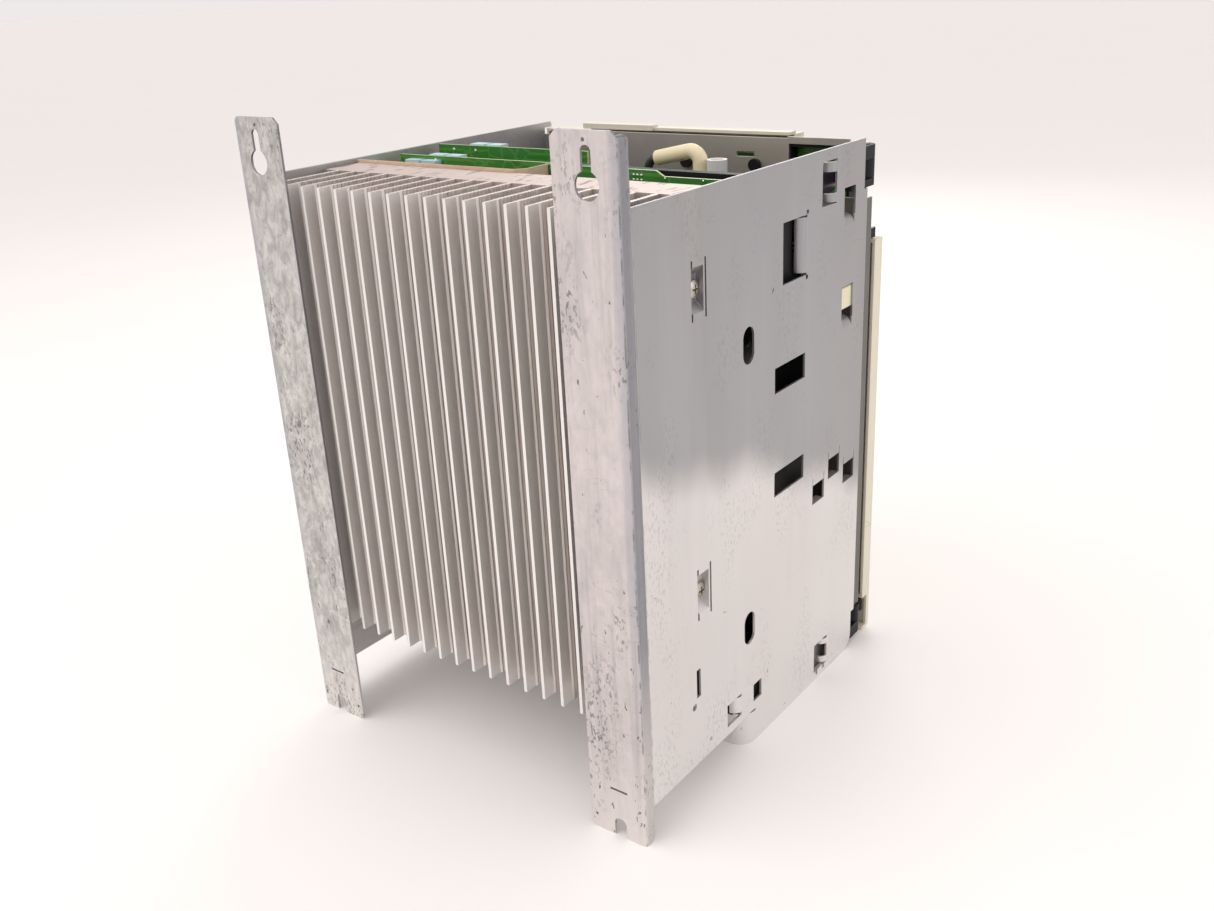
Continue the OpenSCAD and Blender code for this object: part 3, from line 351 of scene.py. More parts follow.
def extruded_aluminium(name):
    """Bare extrusion: smooth fin tips, lighter partly by finish and partly by painted
    highlight, duller ribbed flanks, sawn pinkish ends.
    """
    s = Shader(name, Metallic=0.75)
    drawn = s.noise(s.stretched(700, 700, 3), 1.6, 5, 0.6)
    clouds = s.noise(s.stretched(1, 1, 0.4), 24, 3)
    # Painted highlight: the smooth tip band is coloured much lighter than the ribbed flanks,
    # partly its smoother finish and partly light on the exposed tips.
    tip = s.between(s.depth(), *TIPS_TO_RIBS, 1, 0)
    colour = s.blend(s.between(drawn, 0.3, 0.7), (0.58, 0.52, 0.475), (0.80, 0.74, 0.70))
    colour = s.blend(s.between(clouds, 0.45, 0.7, 0, 0.3), colour, (0.54, 0.48, 0.44))
    colour = s.blend(s.times(tip, 0.85), colour, (0.90, 0.88, 0.86))
    stain = s.times(s.near(s.noise(s.stretched(260, 40, 2), 1.0, 3), 0.5, 0.02), 0.35)
    colour = s.blend(s.times(stain, s.math("SUBTRACT", 1.0, tip)), colour, (0.36, 0.30, 0.26))
    ends = s.facing("Z")
    sawn = s.noise(s.stretched(60, 900, 1), 1.0, 4, 0.7)
    base_slab = s.between(s.depth(), *FINS_TO_SLAB)
    sawn_fins = s.blend(s.between(sawn, 0.3, 0.7), (0.60, 0.54, 0.51), (0.78, 0.71, 0.67))
    sawn_slab = s.blend(s.between(sawn, 0.3, 0.7), (0.56, 0.47, 0.43), (0.68, 0.58, 0.53))
    dashes = s.between(s.noise(s.stretched(330, 60, 1), 1.0, 2), 0.60, 0.66)
    sawn_slab = s.blend(s.times(dashes, 0.75), sawn_slab, (0.16, 0.13, 0.12))
    s.set("Base Color", s.blend(ends, colour, s.blend(base_slab, sawn_fins, sawn_slab)))
    rough = s.between(drawn, 0.2, 0.8, 0.34, 0.48)
    s.set("Roughness", s.math("ADD", rough, s.times(ends, 0.12)))
    s.set("Normal", s.bump(s.blend(ends, drawn, sawn), 0.0003, 0.3, s.rounded(0.0002)))
    return s.material


def plated(name, light, dark, roughness=0.3, grain=900):
    """Plated or bare metal of small parts, a little tarnished."""
    s = Shader(name, Metallic=1.0)
    tarnish = s.noise(s.position, 160, 5, 0.6)
    fine = s.noise(s.position, grain, 3)
    s.set("Base Color", s.blend(s.between(tarnish, 0.4, 0.7), light, dark))
    s.set("Roughness", s.between(tarnish, 0.3, 0.7, roughness, roughness + 0.16))
    s.set("Normal", s.bump(fine, 0.0001, 0.25, s.rounded(0.0003)))
    return s.material


def moulded(name, colour, shade, roughness=0.45, grain=1400, relief=0.3, wear=None,
            radius=0.0004, **constants):
    """Moulded plastic: fine texture, faint unevenness and worn or dusty edges."""
    s = Shader(name, **constants)
    clouds = s.noise(s.position, 28, 4, 0.6)
    fine = s.noise(s.position, grain, 2, 0.6)
    base = s.blend(s.between(clouds, 0.3, 0.7), colour, shade)
    if wear:
        rubbed = s.between(s.noise(s.position, 220, 4), 0.42, 0.6)
        base = s.blend(s.times(s.times(s.edges(radius), rubbed), 0.7), base, wear)
    s.set("Base Color", base)
    s.set("Roughness", s.between(clouds, 0.3, 0.7, roughness - 0.05, roughness + 0.08))
    s.set("Normal", s.bump(fine, 0.00015, relief, s.rounded(radius)))
    return s.material


def aged_cover(name):
    """Beige moulding, faintly yellowed, with hairline scuffs and dust in its texture."""
    s = Shader(name)
    clouds = s.noise(s.position, 12, 3)
    fine = s.noise(s.position, 1100, 2, 0.6)
    dust = s.noise(s.position, 420, 3, 0.6)
    base = s.blend(s.between(clouds, 0.3, 0.7), (0.70, 0.64, 0.50), (0.73, 0.68, 0.55))
    base = s.blend(s.between(dust, 0.6, 0.75, 0, 0.25), base, (0.50, 0.45, 0.35))
    rubbed = s.between(s.noise(s.position, 180, 4), 0.42, 0.6)
    base = s.blend(s.times(s.times(s.edges(0.0006), rubbed), 0.7), base, (0.82, 0.78, 0.68))
    base = scratches(s, base, s.stretched(5, 1, 1), 12, 0.2)
    s.set("Base Color", base)
    s.set("Roughness", s.between(clouds, 0.3, 0.7, 0.46, 0.56))
    s.set("Normal", s.bump(fine, 0.00015, 0.5, s.rounded(0.0006)))
    return s.material


def circuit_board(name):
    """Green solder mask over copper tracks, with a bare yellow-green edge."""
    s = Shader(name, Coat_Weight=0.35, Coat_Roughness=0.12)
    flat = s.facing("Y", 0.5, 0.8)
    turned = s.node("Mapping", {"Vector": s.position, "Rotation": (math.radians(90), 0, 0)})
    rows = s.node("TexBrick", {
        "Vector": turned, "Scale": 26.0, "Mortar Size": 0.022, "Mortar Smooth": 0.1,
        "Color1": (0, 0, 0, 1), "Color2": (0, 0, 0, 1), "Mortar": (1, 1, 1, 1),
        "Brick Width": 0.9, "Row Height": 0.11}, out="Fac")
    islands = s.between(s.noise(s.position, 34, 1), 0.47, 0.5)
    pours = s.between(s.cells(s.position, 95, "Distance", "DISTANCE_TO_EDGE"),
                      0.05, 0.055, 1, 0)
    tracks = s.math("MAXIMUM", s.times(rows, islands),
                    s.times(pours, s.math("SUBTRACT", 1.0, islands)))
    mask = s.blend(s.noise(s.position, 45, 2), (0.016, 0.13, 0.014), (0.04, 0.23, 0.024))
    mask = s.blend(s.times(tracks, 0.5), mask, (0.09, 0.31, 0.04))
    edge = s.blend(s.noise(s.position, 900, 2), (0.38, 0.46, 0.12), (0.56, 0.60, 0.26))
    s.set("Base Color", s.blend(flat, edge, mask))
    s.set("Roughness", s.between(s.noise(s.position, 60, 3), 0.3, 0.7, 0.28, 0.42))
    s.set("Normal", s.bump(tracks, 0.0002, 0.5))
    return s.material


def fibre_sheet(name, light, dark, stain):
    """Pressed fibre or paper sheet with a fine lengthwise grain."""
    s = Shader(name)
    fibre = s.noise(s.stretched(2, 1, 8), 120, 5, 0.65)
    clouds = s.noise(s.position, 22, 3)
    colour = s.blend(s.between(fibre, 0.3, 0.7), dark, light)
    colour = s.blend(s.between(clouds, 0.45, 0.7, 0, 0.4), colour, stain)
    s.set("Base Color", colour)
    s.set("Roughness", s.between(fibre, 0.2, 0.8, 0.42, 0.56))
    s.set("Normal", s.bump(fibre, 0.0002, 0.3, s.rounded(0.0003)))
    return s.material


def wound_tape(name):
    """Varnished tape wrapped round a ring: slanted overlaps every few millimetres."""
    s = Shader(name, Coat_Weight=0.3)
    wraps = s.node("TexWave", {"Vector": s.position, "Scale": 120.0, "Distortion": 1.5,
                               "Detail": 2.0}, out="Fac", bands_direction="DIAGONAL")
    clouds = s.noise(s.position, 40, 3)
    colour = s.blend(wraps, (0.20, 0.12, 0.06), (0.36, 0.25, 0.13))
    s.set("Base Color", s.blend(s.between(clouds, 0.4, 0.7, 0, 0.5), colour,
                                (0.13, 0.08, 0.05)))
    s.set("Roughness", s.between(clouds, 0.3, 0.7, 0.35, 0.5))
    s.set("Normal", s.bump(wraps, 0.0006, 0.5))
    return s.material


def filter_glass(name):
    """Dark red acrylic in front of a display."""
    s = Shader(name, Coat_Weight=1.0, Coat_Roughness=0.04)
    smear = s.noise(s.position, 90, 3)
    s.set("Base Color", s.blend(smear, (0.09, 0.002, 0.004), (0.14, 0.006, 0.008)))
    s.set("Roughness", s.between(smear, 0.3, 0.7, 0.08, 0.2))
    s.set("Normal", s.bump(smear, 0.0001, 0.1))
    return s.material


def banded_resistor(name):
    """Tan resistor body with coloured rings, spaced along X within each pitch."""
    s = Shader(name, Coat_Weight=0.3)
    along = s.math("FRACT", s.times(s.axis(s.position, "X"), 100.0))
    tint = s.axis(s.cells(s.stretched(1, 0.01, 1), 180, "Color"), "X")
    colour = s.blend(s.noise(s.position, 300, 2), (0.55, 0.40, 0.24), (0.66, 0.50, 0.32))
    bands = s.between(s.math("ABSOLUTE", s.math("SINE", s.times(along, 28.0))), 0.86, 0.9)
    s.set("Base Color", s.blend(s.times(bands, 0.9), colour,
                                s.blend(tint, (0.22, 0.05, 0.02), (0.04, 0.03, 0.10))))
    s.set("Roughness", s.between(s.noise(s.position, 200, 2), 0.3, 0.7, 0.3, 0.42))
    s.set("Normal", s.bump(bands, 0.0001, 0.2))
    return s.material


def build_materials():
    """One material for each slot of the record, and those of the small added pieces."""
    black = dict(wear=(0.16, 0.155, 0.15))
    return {
        "extruded_aluminium": extruded_aluminium("extruded_aluminium"),
        "zinc_screws": plated("zinc_screws", (0.56, 0.53, 0.46), (0.30, 0.28, 0.24)),
        "module_plastic": moulded("module_plastic", (0.05, 0.047, 0.045),
                                  (0.08, 0.075, 0.07), 0.5, **black),
        "busbar_copper": plated("busbar_copper", (0.83, 0.46, 0.28), (0.50, 0.24, 0.14), 0.34),
        "transformer_tape": wound_tape("transformer_tape"),
        "black_plastic": moulded("black_plastic", (0.007, 0.007, 0.009),
                                 (0.014, 0.014, 0.016), 0.5, Specular_IOR_Level=0.2,
                                 **black),
        "hard_paper": fibre_sheet("hard_paper", (0.72, 0.56, 0.41), (0.57, 0.41, 0.28),
                                  (0.42, 0.28, 0.18)),
        "black_fibre": fibre_sheet("black_fibre", (0.022, 0.02, 0.02), (0.012, 0.011, 0.011),
                                   (0.03, 0.027, 0.025)),
        "brass_spacer": plated("brass_spacer", (0.80, 0.60, 0.28), (0.52, 0.37, 0.16)),
        "solder": plated("solder", (0.86, 0.86, 0.82), (0.56, 0.56, 0.53), 0.22),
        "board_green": circuit_board("board_green"),
        "connector_blue": moulded("connector_blue", (0.42, 0.58, 0.66), (0.52, 0.66, 0.72),
                                  0.45),
        "film_blue": moulded("film_blue", (0.03, 0.09, 0.34), (0.05, 0.13, 0.42), 0.3),
        "capacitor_sleeve": moulded("capacitor_sleeve", (0.012, 0.02, 0.07),
                                    (0.02, 0.03, 0.10), 0.28, Coat_Weight=0.4),
        "capacitor_jacket": moulded("capacitor_jacket", (0.030, 0.020, 0.034),
                                    (0.060, 0.045, 0.060), 0.3, Coat_Weight=0.3),
        "light_grey_plastic": moulded("light_grey_plastic", (0.58, 0.58, 0.57),
                                      (0.70, 0.70, 0.69), 0.42),
        "cream_sleeve": moulded("cream_sleeve", (0.80, 0.67, 0.40), (0.88, 0.77, 0.52), 0.4,
                                grain=500, Subsurface_Weight=0.15, Subsurface_Scale=0.002),
        "dark_lead": moulded("dark_lead", (0.02, 0.018, 0.016), (0.05, 0.045, 0.04), 0.5),
        "red_lead": moulded("red_lead", (0.50, 0.012, 0.03), (0.62, 0.03, 0.05), 0.35),
        "cream_nylon": moulded("cream_nylon", (0.72, 0.66, 0.46), (0.82, 0.77, 0.58), 0.4,
                               Subsurface_Weight=0.1, Subsurface_Scale=0.002),
        "terminal_green": moulded("terminal_green", (0.03, 0.22, 0.09), (0.05, 0.28, 0.12),
                                  0.42),
        "display_red": filter_glass("display_red"),
        "key_grey": moulded("key_grey", (0.46, 0.46, 0.44), (0.56, 0.56, 0.53), 0.5),
        "cover_beige": aged_cover("cover_beige"),
        "resistor_tan": banded_resistor("resistor_tan"),
        "disc_orange": moulded("disc_orange", (0.62, 0.24, 0.05), (0.72, 0.33, 0.09), 0.35),
        "segment_red": moulded("segment_red", (0.20, 0.012, 0.014), (0.26, 0.02, 0.02), 0.3),
        "lamp_red": moulded("lamp_red", (0.55, 0.02, 0.02), (0.68, 0.05, 0.04), 0.18,
                            Coat_Weight=0.6),
        # Its last colour is painted shade for the carrier's left-hand fold.
        "carrier_steel": zinc_inner("carrier_steel", (0.56, 0.51, 0.47), (0.42, 0.38, 0.35),
                                    (0.115, 0.115, 0.10)),
        "galvanised_sheet": zinc_inner("galvanised_sheet", (0.50, 0.47, 0.45),
                                       (0.38, 0.36, 0.34)),
    }


def dress_cad_nodes(materials):
    """Gives every CAD node its finished material."""
    own = {
        "side_panel_left": zinc_panel("zinc_left_panel"),
        # Painted light: the right panel is coloured lighter than the left to offset the shade
        # on its inner face, with only a faint painted reflection.
        "side_panel_right": zinc_panel("zinc_right_panel", (0.57, 0.55, 0.53),
                                       (0.64, 0.62, 0.60)),
        "mounting_rail_left": zinc_rail("zinc_left_rail", 0.25, (0.70, 0.645, 0.635),
                                        (0.44, 0.42, 0.42), 0.55),
        "mounting_rail_right": zinc_rail("zinc_right_rail", 0.9, (0.68, 0.655, 0.63),
                                         (0.34, 0.345, 0.335), 0.3),
        # Painted shade: the bottom plate is the same zinc sheet, coloured far darker for the
        # shade inside the unit.
        "bottom_plate": zinc_inner("zinc_bottom_plate_painted_shade", (0.24, 0.23, 0.22),
                                   (0.16, 0.155, 0.15)),
    }
    for part in frame["record"]["subparts"]:
        node = part["node"]
        obj = frame["nodes"][node]
        material = own.get(node) or materials[part["material_slot"]]
        obj.data.materials.clear()
        obj.data.materials.append(material)


# ---- small pieces ----------------------------------------------------------------


class Pile:
    """Many small shapes gathered into one mesh. Lengths and places are in millimetres."""

    def __init__(self):
        self.points = []
        self.faces = []

    def take(self, shape):
        """Moves a small bmesh into the pile."""
        first = len(self.points)
        shape.verts.index_update()
        self.points += [vert.co.copy() for vert in shape.verts]
        self.faces += [[first + vert.index for vert in face.verts] for face in shape.faces]
        shape.free()

    def block(self, x, depth, z, bevel=0.0):
        """Block between two x, two depths and two heights, with its edges cut by bevel."""
        low, high = at(x[0], depth[1], z[0]), at(x[1], depth[0], z[1])
        size = Matrix.Diagonal((*(high - low), 1))
        shape = bmesh.new()
        bmesh.ops.create_cube(shape, size=1, matrix=Matrix.Translation((low + high) / 2) @ size)
        if bevel:
            bmesh.ops.bevel(shape, geom=shape.edges[:], offset=bevel * MM, segments=2,
                            affect="EDGES", profile=0.5)
        self.take(shape)

    def rod(self, start, end, radius, tip=None, sides=12):
        """Round rod, or a cone where tip is its radius at the far end."""
        a, b = at(*start), at(*end)
        turn = (b - a).to_track_quat("Z", "Y").to_matrix().to_4x4()
        shape = bmesh.new()
        bmesh.ops.create_cone(shape, cap_ends=True, segments=sides, radius1=radius * MM,
                              radius2=(radius if tip is None else tip) * MM,
                              depth=(b - a).length,
                              matrix=Matrix.Translation((a + b) / 2) @ turn)
        self.take(shape)

    def lens(self, centre, radii, rings=8, sides=12):
        """Ellipsoid with its own radius along x, depth and z."""
        size = Matrix.Diagonal((radii[0] * MM, radii[1] * MM, radii[2] * MM, 1))
        shape = bmesh.new()
        bmesh.ops.create_uvsphere(shape, u_segments=sides, v_segments=rings, radius=1,
                                  matrix=Matrix.Translation(at(*centre)) @ size)
        self.take(shape)

    def lip(self, edge, depth, z, radius, sheet, steps=10):
        """Sheet rolled inward and rearward from an edge of the left panel's outer face."""
        first = len(self.points)
        for i in range(steps + 1):
            turn = math.radians(90 * i / steps)
            for reach in (radius, radius - sheet):
                for height in z:
                    self.points.append(at(edge + radius - reach * math.cos(turn),
                                          depth - reach * math.sin(turn), height))
        for i in range(steps):
            here, there = first + 4 * i, first + 4 * i + 4
            for a, b in ((0, 1), (3, 2), (2, 0), (1, 3)):
                self.faces.append([here + a, here + b, there + b, there + a])
        self.faces.append([first, first + 2, first + 3, first + 1])
        last = first + 4 * steps
        self.faces.append([last, last + 1, last + 3, last + 2])

    def piece(self, name, material, slot, body):
        """Ends the pile as one piece that rides on a body."""
        mesh = bpy.data.meshes.new(name)
        mesh.from_pydata(self.points, [], self.faces)
        for face in mesh.polygons:
            face.use_smooth = True
        mesh.set_sharp_from_angle(angle=math.radians(35))
        mesh.materials.append(material)
        piece = bpy.data.objects.new(name, mesh)
        scene.collection.objects.link(piece)
        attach(piece, body)
        return piece


LEG_PITCH = 2.54


class BoardParts:
    """Electronic parts on the front of one board, sorted into piles by what they are."""

    KINDS = {
        "chips": ("black_plastic", "black_plastic"),
        "pins": ("solder", "zinc_screws"),
        "resistors": ("resistor_tan", "hard_paper"),
        "discs": ("disc_orange", "cream_nylon"),
        "cans": ("capacitor_sleeve", "capacitor_sleeve"),
        "trimmers": ("film_blue", "film_blue"),
        "lamps": ("lamp_red", "red_lead"),
        "joints": ("solder", "zinc_screws"),
    }

    def __init__(self, node, body):
        self.node = node
        self.body = body
        depth = extent(node)[1]
        self.rear, self.front = depth
        self.piles = {}

    def pile(self, kind):
        return self.piles.setdefault(kind, Pile())

    def joint(self, x, z, radius=0.9):
        """Soldered joint on the rear face."""
        self.pile("joints").lens((x, self.rear - 0.1, z), (radius, 0.55, radius), 5, 8)

    def legs(self, places, reach=1.2):
        for x, z in places:
            self.pile("pins").rod((x, self.front - 0.1, z), (x, self.front + reach, z), 0.32,
                                  sides=6)
            self.joint(x, z)

    def chip(self, x, z, pins=16):
        """Dual in-line chip lying along x."""
        half = pins / 2 * LEG_PITCH / 2
        body = self.pile("chips")
        body.block((x - half, x + half), (self.front + 0.5, self.front + 3.8),
                   (z - 3.2, z + 3.2), 0.35)
        for i in range(pins // 2):
            leg = x - half + LEG_PITCH / 2 + LEG_PITCH * i
            for side in (-1, 1):
                beside = z + side * 3.7
                self.pile("pins").block((leg - 0.3, leg + 0.3),
                                        (self.front - 0.1, self.front + 2.2),
                                        (beside - 0.18, beside + 0.18))
                self.joint(leg, beside, 0.75)

    def resistor(self, x, z):
        """Axial resistor lying along x, its leads bent into the board."""
        lift = self.front + 1.3
        body = self.pile("resistors")
        body.rod((x - 2.2, lift, z), (x + 2.2, lift, z), 0.95)
        for side in (-1, 1):
            body.lens((x + side * 2.3, lift, z), (1.0, 1.15, 1.15), 6, 10)
            self.pile("pins").rod((x + side * 3.1, lift, z), (x + side * 4.6, lift, z), 0.3,
                                  sides=6)
        self.legs([(x - 4.6, z), (x + 4.6, z)])

    def disc(self, x, z):
        """Disc capacitor standing on two leads."""
        self.pile("discs").lens((x, self.front + 4.6, z), (3.4, 3.4, 1.3))
        self.legs([(x - 2.5, z), (x + 2.5, z)], 2.4)

    def can(self, x, z, radius=3.6, height=8.5):
        """Small electrolytic capacitor: sleeve with a rolled rim and a bare top."""
        base, top = self.front + 0.3, self.front + height
        sleeve = self.pile("cans")
        sleeve.rod((x, base, z), (x, base + 0.8, z), radius - 0.4, radius, 20)
        sleeve.rod((x, base + 0.8, z), (x, top - 0.5, z), radius, sides=20)
        sleeve.rod((x, top - 0.5, z), (x, top, z), radius, radius - 0.5, 20)
        self.pile("pins").rod((x, top - 0.2, z), (x, top + 0.12, z), radius - 0.9, sides=20)
        self.legs([(x - 1.3, z), (x + 1.3, z)], 0.5)

    def trimmer(self, x, z):
        """Square trimming potentiometer with its adjusting screw at one end."""
        self.pile("trimmers").block((x - 4.7, x + 4.7), (self.front + 0.2, self.front + 8.5),
                                    (z - 2.4, z + 2.4), 0.3)
        self.pile("pins").rod((x + 3, self.front + 8.4, z), (x + 3, self.front + 9.1, z), 1.1)
        self.legs([(x - 2.5, z), (x, z), (x + 2.5, z)], 0.4)

    def lamp(self, x, z):
        """Round indicator lamp with its collar."""
        tip = self.front + 4.8
        self.pile("lamps").rod((x, self.front + 0.6, z), (x, self.front + 1.5, z), 1.9)
        self.pile("lamps").rod((x, self.front + 1.5, z), (x, tip, z), 1.5)
        self.pile("lamps").lens((x, tip, z), (1.5, 1.5, 1.5))
        self.legs([(x - LEG_PITCH / 2, z), (x + LEG_PITCH / 2, z)], 0.8)

    def row(self, make, xs, z):
        for x in xs:
            make(x, z)

    def pieces(self, materials):
        for kind, pile in self.piles.items():
            look, slot = self.KINDS[kind]
            pile.piece(f"{self.node}_{kind}", materials[look], slot, self.body)


def spread(start, stop, count):
    """Evenly spaced places from start to stop, both included."""
    return [start + (stop - start) * i / (count - 1) for i in range(count)]


def dress_control_board(materials):
    parts = BoardParts("control_board", "carrier")
    for z in (96, 104, 124, 132):
        parts.row(parts.resistor, spread(-98, -20, 7), z)
        parts.row(parts.resistor, spread(28, 100, 6), z)
    for z in (97, 111, 125):
        parts.row(parts.chip, [4], z)
    parts.row(parts.disc, spread(-98, -26, 9), 114)
    parts.row(parts.can, spread(34, 98, 6), 114)
    for z in (204, 216):
        parts.row(parts.resistor, spread(-100, -58, 4), z)
        parts.row(parts.resistor, spread(52, 100, 5), z)
    parts.row(parts.disc, spread(-100, -52, 6), 182)
    parts.row(parts.chip, [-16, 14, 62], 176)
    parts.row(parts.can, spread(-100, -78, 3), 166)
    parts.row(parts.can, spread(56, 92, 4), 192)
    parts.row(parts.resistor, spread(-94, 94, 15), 268)
    parts.row(parts.trimmer, spread(-50, 46, 7), 282)
    parts.row(parts.lamp, spread(66, 98, 5), 284)
    parts.row(parts.disc, spread(-56, 40, 9), 297)
    parts.row(parts.can, spread(-54, 34, 8), 312)
    parts.row(parts.chip, [-44, -16, 12], 326)
    add_chip_legs(parts)
    parts.pieces(materials)


def add_chip_legs(parts):
    """Legs beside the large chips of the control board."""
    chips = [(x, z, 7, 7.6) for x in (-60, -30, 0, 30, 60) for z in (236, 254)]
    chips += [(x, 154, 6, 6.4) for x in (-80, -52, 40, 68)]
    for x, z, count, first in chips:
        for i in range(count):
            for side in (-1, 1):
                parts.legs([(x - first + LEG_PITCH * i, z + side * 4.7)], 1.6)


def dress_supply_board(materials):
    parts = BoardParts("supply_board", "root")
    for z in (202, 240):
        parts.row(parts.resistor, spread(12, 32, 3), z)
    parts.row(parts.can, spread(14, 116, 9), 226)
    parts.row(parts.resistor, spread(12, 116, 9), 318)
    parts.row(parts.disc, spread(12, 64, 6), 326)
    parts.row(parts.resistor, spread(12, 60, 5), 335)
    for x in (94, 113):
        parts.joint(x, 347, 1.3)
    parts.pieces(materials)


def dress_gate_board(materials):
    parts = BoardParts("gate_board", "root")
    parts.row(parts.resistor, spread(12, 116, 9), 210)
    parts.row(parts.resistor, spread(94, 116, 3), 262)
    parts.row(parts.disc, spread(92, 118, 4), 280)
    parts.row(parts.can, spread(92, 118, 3), 298)
    parts.row(parts.resistor, spread(12, 60, 5), 320)
    parts.row(parts.disc, spread(12, 60, 6), 330)
    parts.joint(95, 346, 1.3)
    parts.pieces(materials)


def dress_snubber_board(materials):
    parts = BoardParts("snubber_board", "root")
    for z in (258, 268):
        parts.row(parts.resistor, spread(-86, -12, 7), z)
    parts.row(parts.disc, spread(-84, -12, 9), 284)
    parts.row(parts.can, spread(-80, -14, 7), 302)
    parts.row(parts.resistor, spread(-86, -12, 7), 318)
    for x in (-63.5, -66, -68.6):
        for z in (344, 346.6):
            parts.joint(x, z, 0.8)
    for x in (-84, -108):
        parts.joint(x, 345.6, 0.7)
    parts.pieces(materials)


def dress_filter_board(materials):
    parts = BoardParts("filter_board", "root")
    parts.row(parts.resistor, spread(-116, -76, 4), 270)
    parts.row(parts.disc, spread(-112, -72, 5), 282)
    parts.row(parts.trimmer, [-32, -18], 272)
    parts.row(parts.can, spread(-44, -20, 3), 288)
    parts.pieces(materials)


def add_fibre_liner(materials):
    """Black fibre sheet between the leads and the boards, and a strip at the fins; the sheet's
    black is painted shade for what is seen through the side windows.
    """
    x = extent("red_leads")[0][1] + 4
    depth = (140, 250)
    low = extent("bottom_plate")[2][0] + 20
    high = extent("filter_board")[2][0] - 2
    liner = Pile()
    liner.block((x, x + 0.8), depth, (low, high), 0.2)
    liner.block((x, x + 9), (depth[1] - 0.8, depth[1]), (low, high), 0.2)
    for z in spread(low + 12, high - 12, 4):
        for d in (depth[0] + 6, depth[1] - 8):
            liner.lens((x, d, z), (0.8, 2.6, 2.6))
    (fin_side, _), _, (fin_foot, _) = extent("heat_sink")
    liner.block((fin_side - 3.6, fin_side - 2.8), (SINK_REAR + 50, SINK_REAR + 68),
                (fin_foot - 5, fin_foot + 20), 0.2)
    liner.piece("black_liner_painted_shade", materials["black_fibre"], "black_plastic", "root")


def add_display_segments(materials):
    """Unlit segments of the four-digit display, seen through its filter."""
    (left, right), (_, front), (low, high) = extent("display_window")
    width, height, stroke = 3.6, 7.6, 0.7
    middle = (low + high) / 2
    skin = (front - 0.2, front + 0.05)
    segments = Pile()
    for x in spread(left + 6, right - 6, 4):
        for row in (-1, 0, 1):
            z = middle + row * height / 2
            segments.block((x - width / 2 + 0.5, x + width / 2 - 0.5), skin,
                           (z - stroke / 2, z + stroke / 2), 0.04)
        for side in (-1, 1):
            for half in (-1, 1):
                z = middle + half * height / 4
                edge = x + side * width / 2
                segments.block((edge - stroke / 2, edge + stroke / 2), skin,
                               (z - 1.4, z + 1.4), 0.04)
        segments.lens((x + width / 2 + 1.5, front, middle - height / 2), (0.5, 0.08, 0.5),
                      6, 10)
    segments.piece("display_segments", materials["segment_red"], "display_red", "carrier")


def add_key_marks(materials):
    """Raised marks on the keys: an arrow down, an arrow up and a round spot."""
    for key, way in (("key_down", -1), ("key_up", 1), ("key_program", 0)):
        (left, right), (_, front), (low, high) = extent(key)
        x, z = (left + right) / 2, (low + high) / 2
        sunk = front - 0.27  # most of the mark lies in the key, the rest stands 0.08 proud
        mark = Pile()
        if way:
            for side in (-1, 1):
                mark.rod((x, sunk, z + way * 1.6), (x + side * 2.2, sunk, z - way * 1.2), 0.35,
                         sides=16)
        else:
            mark.lens((x, sunk, z), (1.8, 0.35, 1.8), 10, 24)
        mark.piece(f"{key}_mark", materials["black_plastic"], "black_plastic", key)


def add_relay_contacts(materials):
    """Plated contacts in the recess of the potted block."""
    left = extent("potted_transformer")[0][0]
    heights = 297.5, 300.5
    contacts = Pile()
    for z in heights:
        contacts.block((left + 1.2, left + 3), (174.5, 178.5), (z - 0.9, z + 0.9), 0.2)
    contacts.piece("potted_contacts", materials["solder"], "zinc_screws", "root")


def add_relay_window_lip():
    """Lip along the front edge of the tall window beside the potted block."""
    panel = frame["nodes"]["side_panel_left"]
    window_front, window_z = 178.8, (284.5, 316.0)
    pile = Pile()
    pile.lip(PANEL_LEFT + 0.02, window_front, window_z, radius=5.5, sheet=1.4)
    pile.piece("relay_window_lip", panel.data.materials[0], "galvanised_sheet", "root")


# ---- stage -----------------------------------------------------------------------


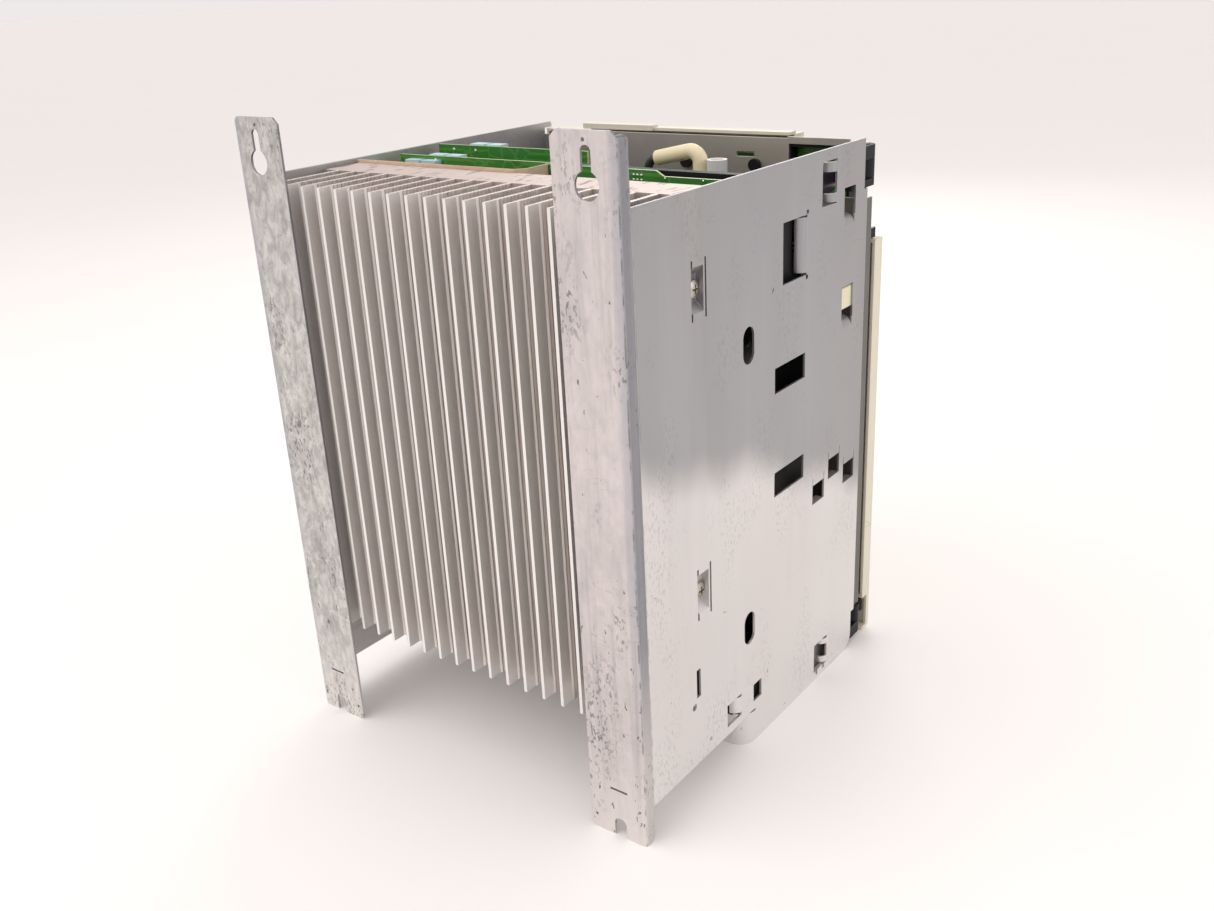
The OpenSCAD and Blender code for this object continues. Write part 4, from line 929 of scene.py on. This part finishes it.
FLOOR_RADIUS = 60


def add_floor():
    """Pale tabletop that fades into the studio's walls far away."""
    mesh = bpy.data.meshes.new("floor")
    shape = bmesh.new()
    bmesh.ops.create_circle(shape, cap_ends=True, segments=96, radius=FLOOR_RADIUS)
    shape.to_mesh(mesh)
    shape.free()
    floor = bpy.data.objects.new("floor", mesh)
    scene.collection.objects.link(floor)
    s = Shader("floor_paint", Roughness=0.6, Emission_Color=(1.0, 0.955, 0.935),
               Emission_Strength=0.13)
    soft = s.noise(s.position, 3, 3)
    s.set("Base Color", s.blend(soft, (0.82, 0.795, 0.77), (0.85, 0.825, 0.80)))
    mesh.materials.append(s.material)


def add_area(name, place, aim, size, power, colour):
    data = bpy.data.lights.new(name, "AREA")
    data.shape = "DISK"
    data.size = size
    data.energy = power
    data.color = colour
    light = bpy.data.objects.new(name, data)
    light.location = place
    light.rotation_euler = (Vector(aim) - Vector(place)).to_track_quat("-Z", "Y").to_euler()
    scene.collection.objects.link(light)


def add_lights():
    world = bpy.data.worlds.new("studio")
    scene.world = world
    world.use_nodes = True
    background = world.node_tree.nodes["Background"]
    background.inputs["Color"].default_value = (1.0, 0.955, 0.955, 1)
    background.inputs["Strength"].default_value = 0.86
    add_area("key", (0.5, 0.9, 1.7), (0, 0, 0.15), 1.4, 11, (1.0, 0.98, 0.96))
    add_area("fill", (-1.6, -0.3, 0.9), (0, 0, 0.2), 1.2, 4, (0.93, 0.96, 1.0))
    add_area("front", (0.7, -1.5, 1.1), (0, 0, 0.2), 1.0, 6, (1.0, 0.98, 0.95))


add_camera()
MATERIALS = build_materials()
dress_cad_nodes(MATERIALS)
dress_control_board(MATERIALS)
dress_supply_board(MATERIALS)
dress_gate_board(MATERIALS)
dress_snubber_board(MATERIALS)
dress_filter_board(MATERIALS)
add_fibre_liner(MATERIALS)
add_display_segments(MATERIALS)
add_key_marks(MATERIALS)
add_relay_contacts(MATERIALS)
add_relay_window_lip()
add_floor()
add_lights()
scene.view_settings.view_transform = "Standard"
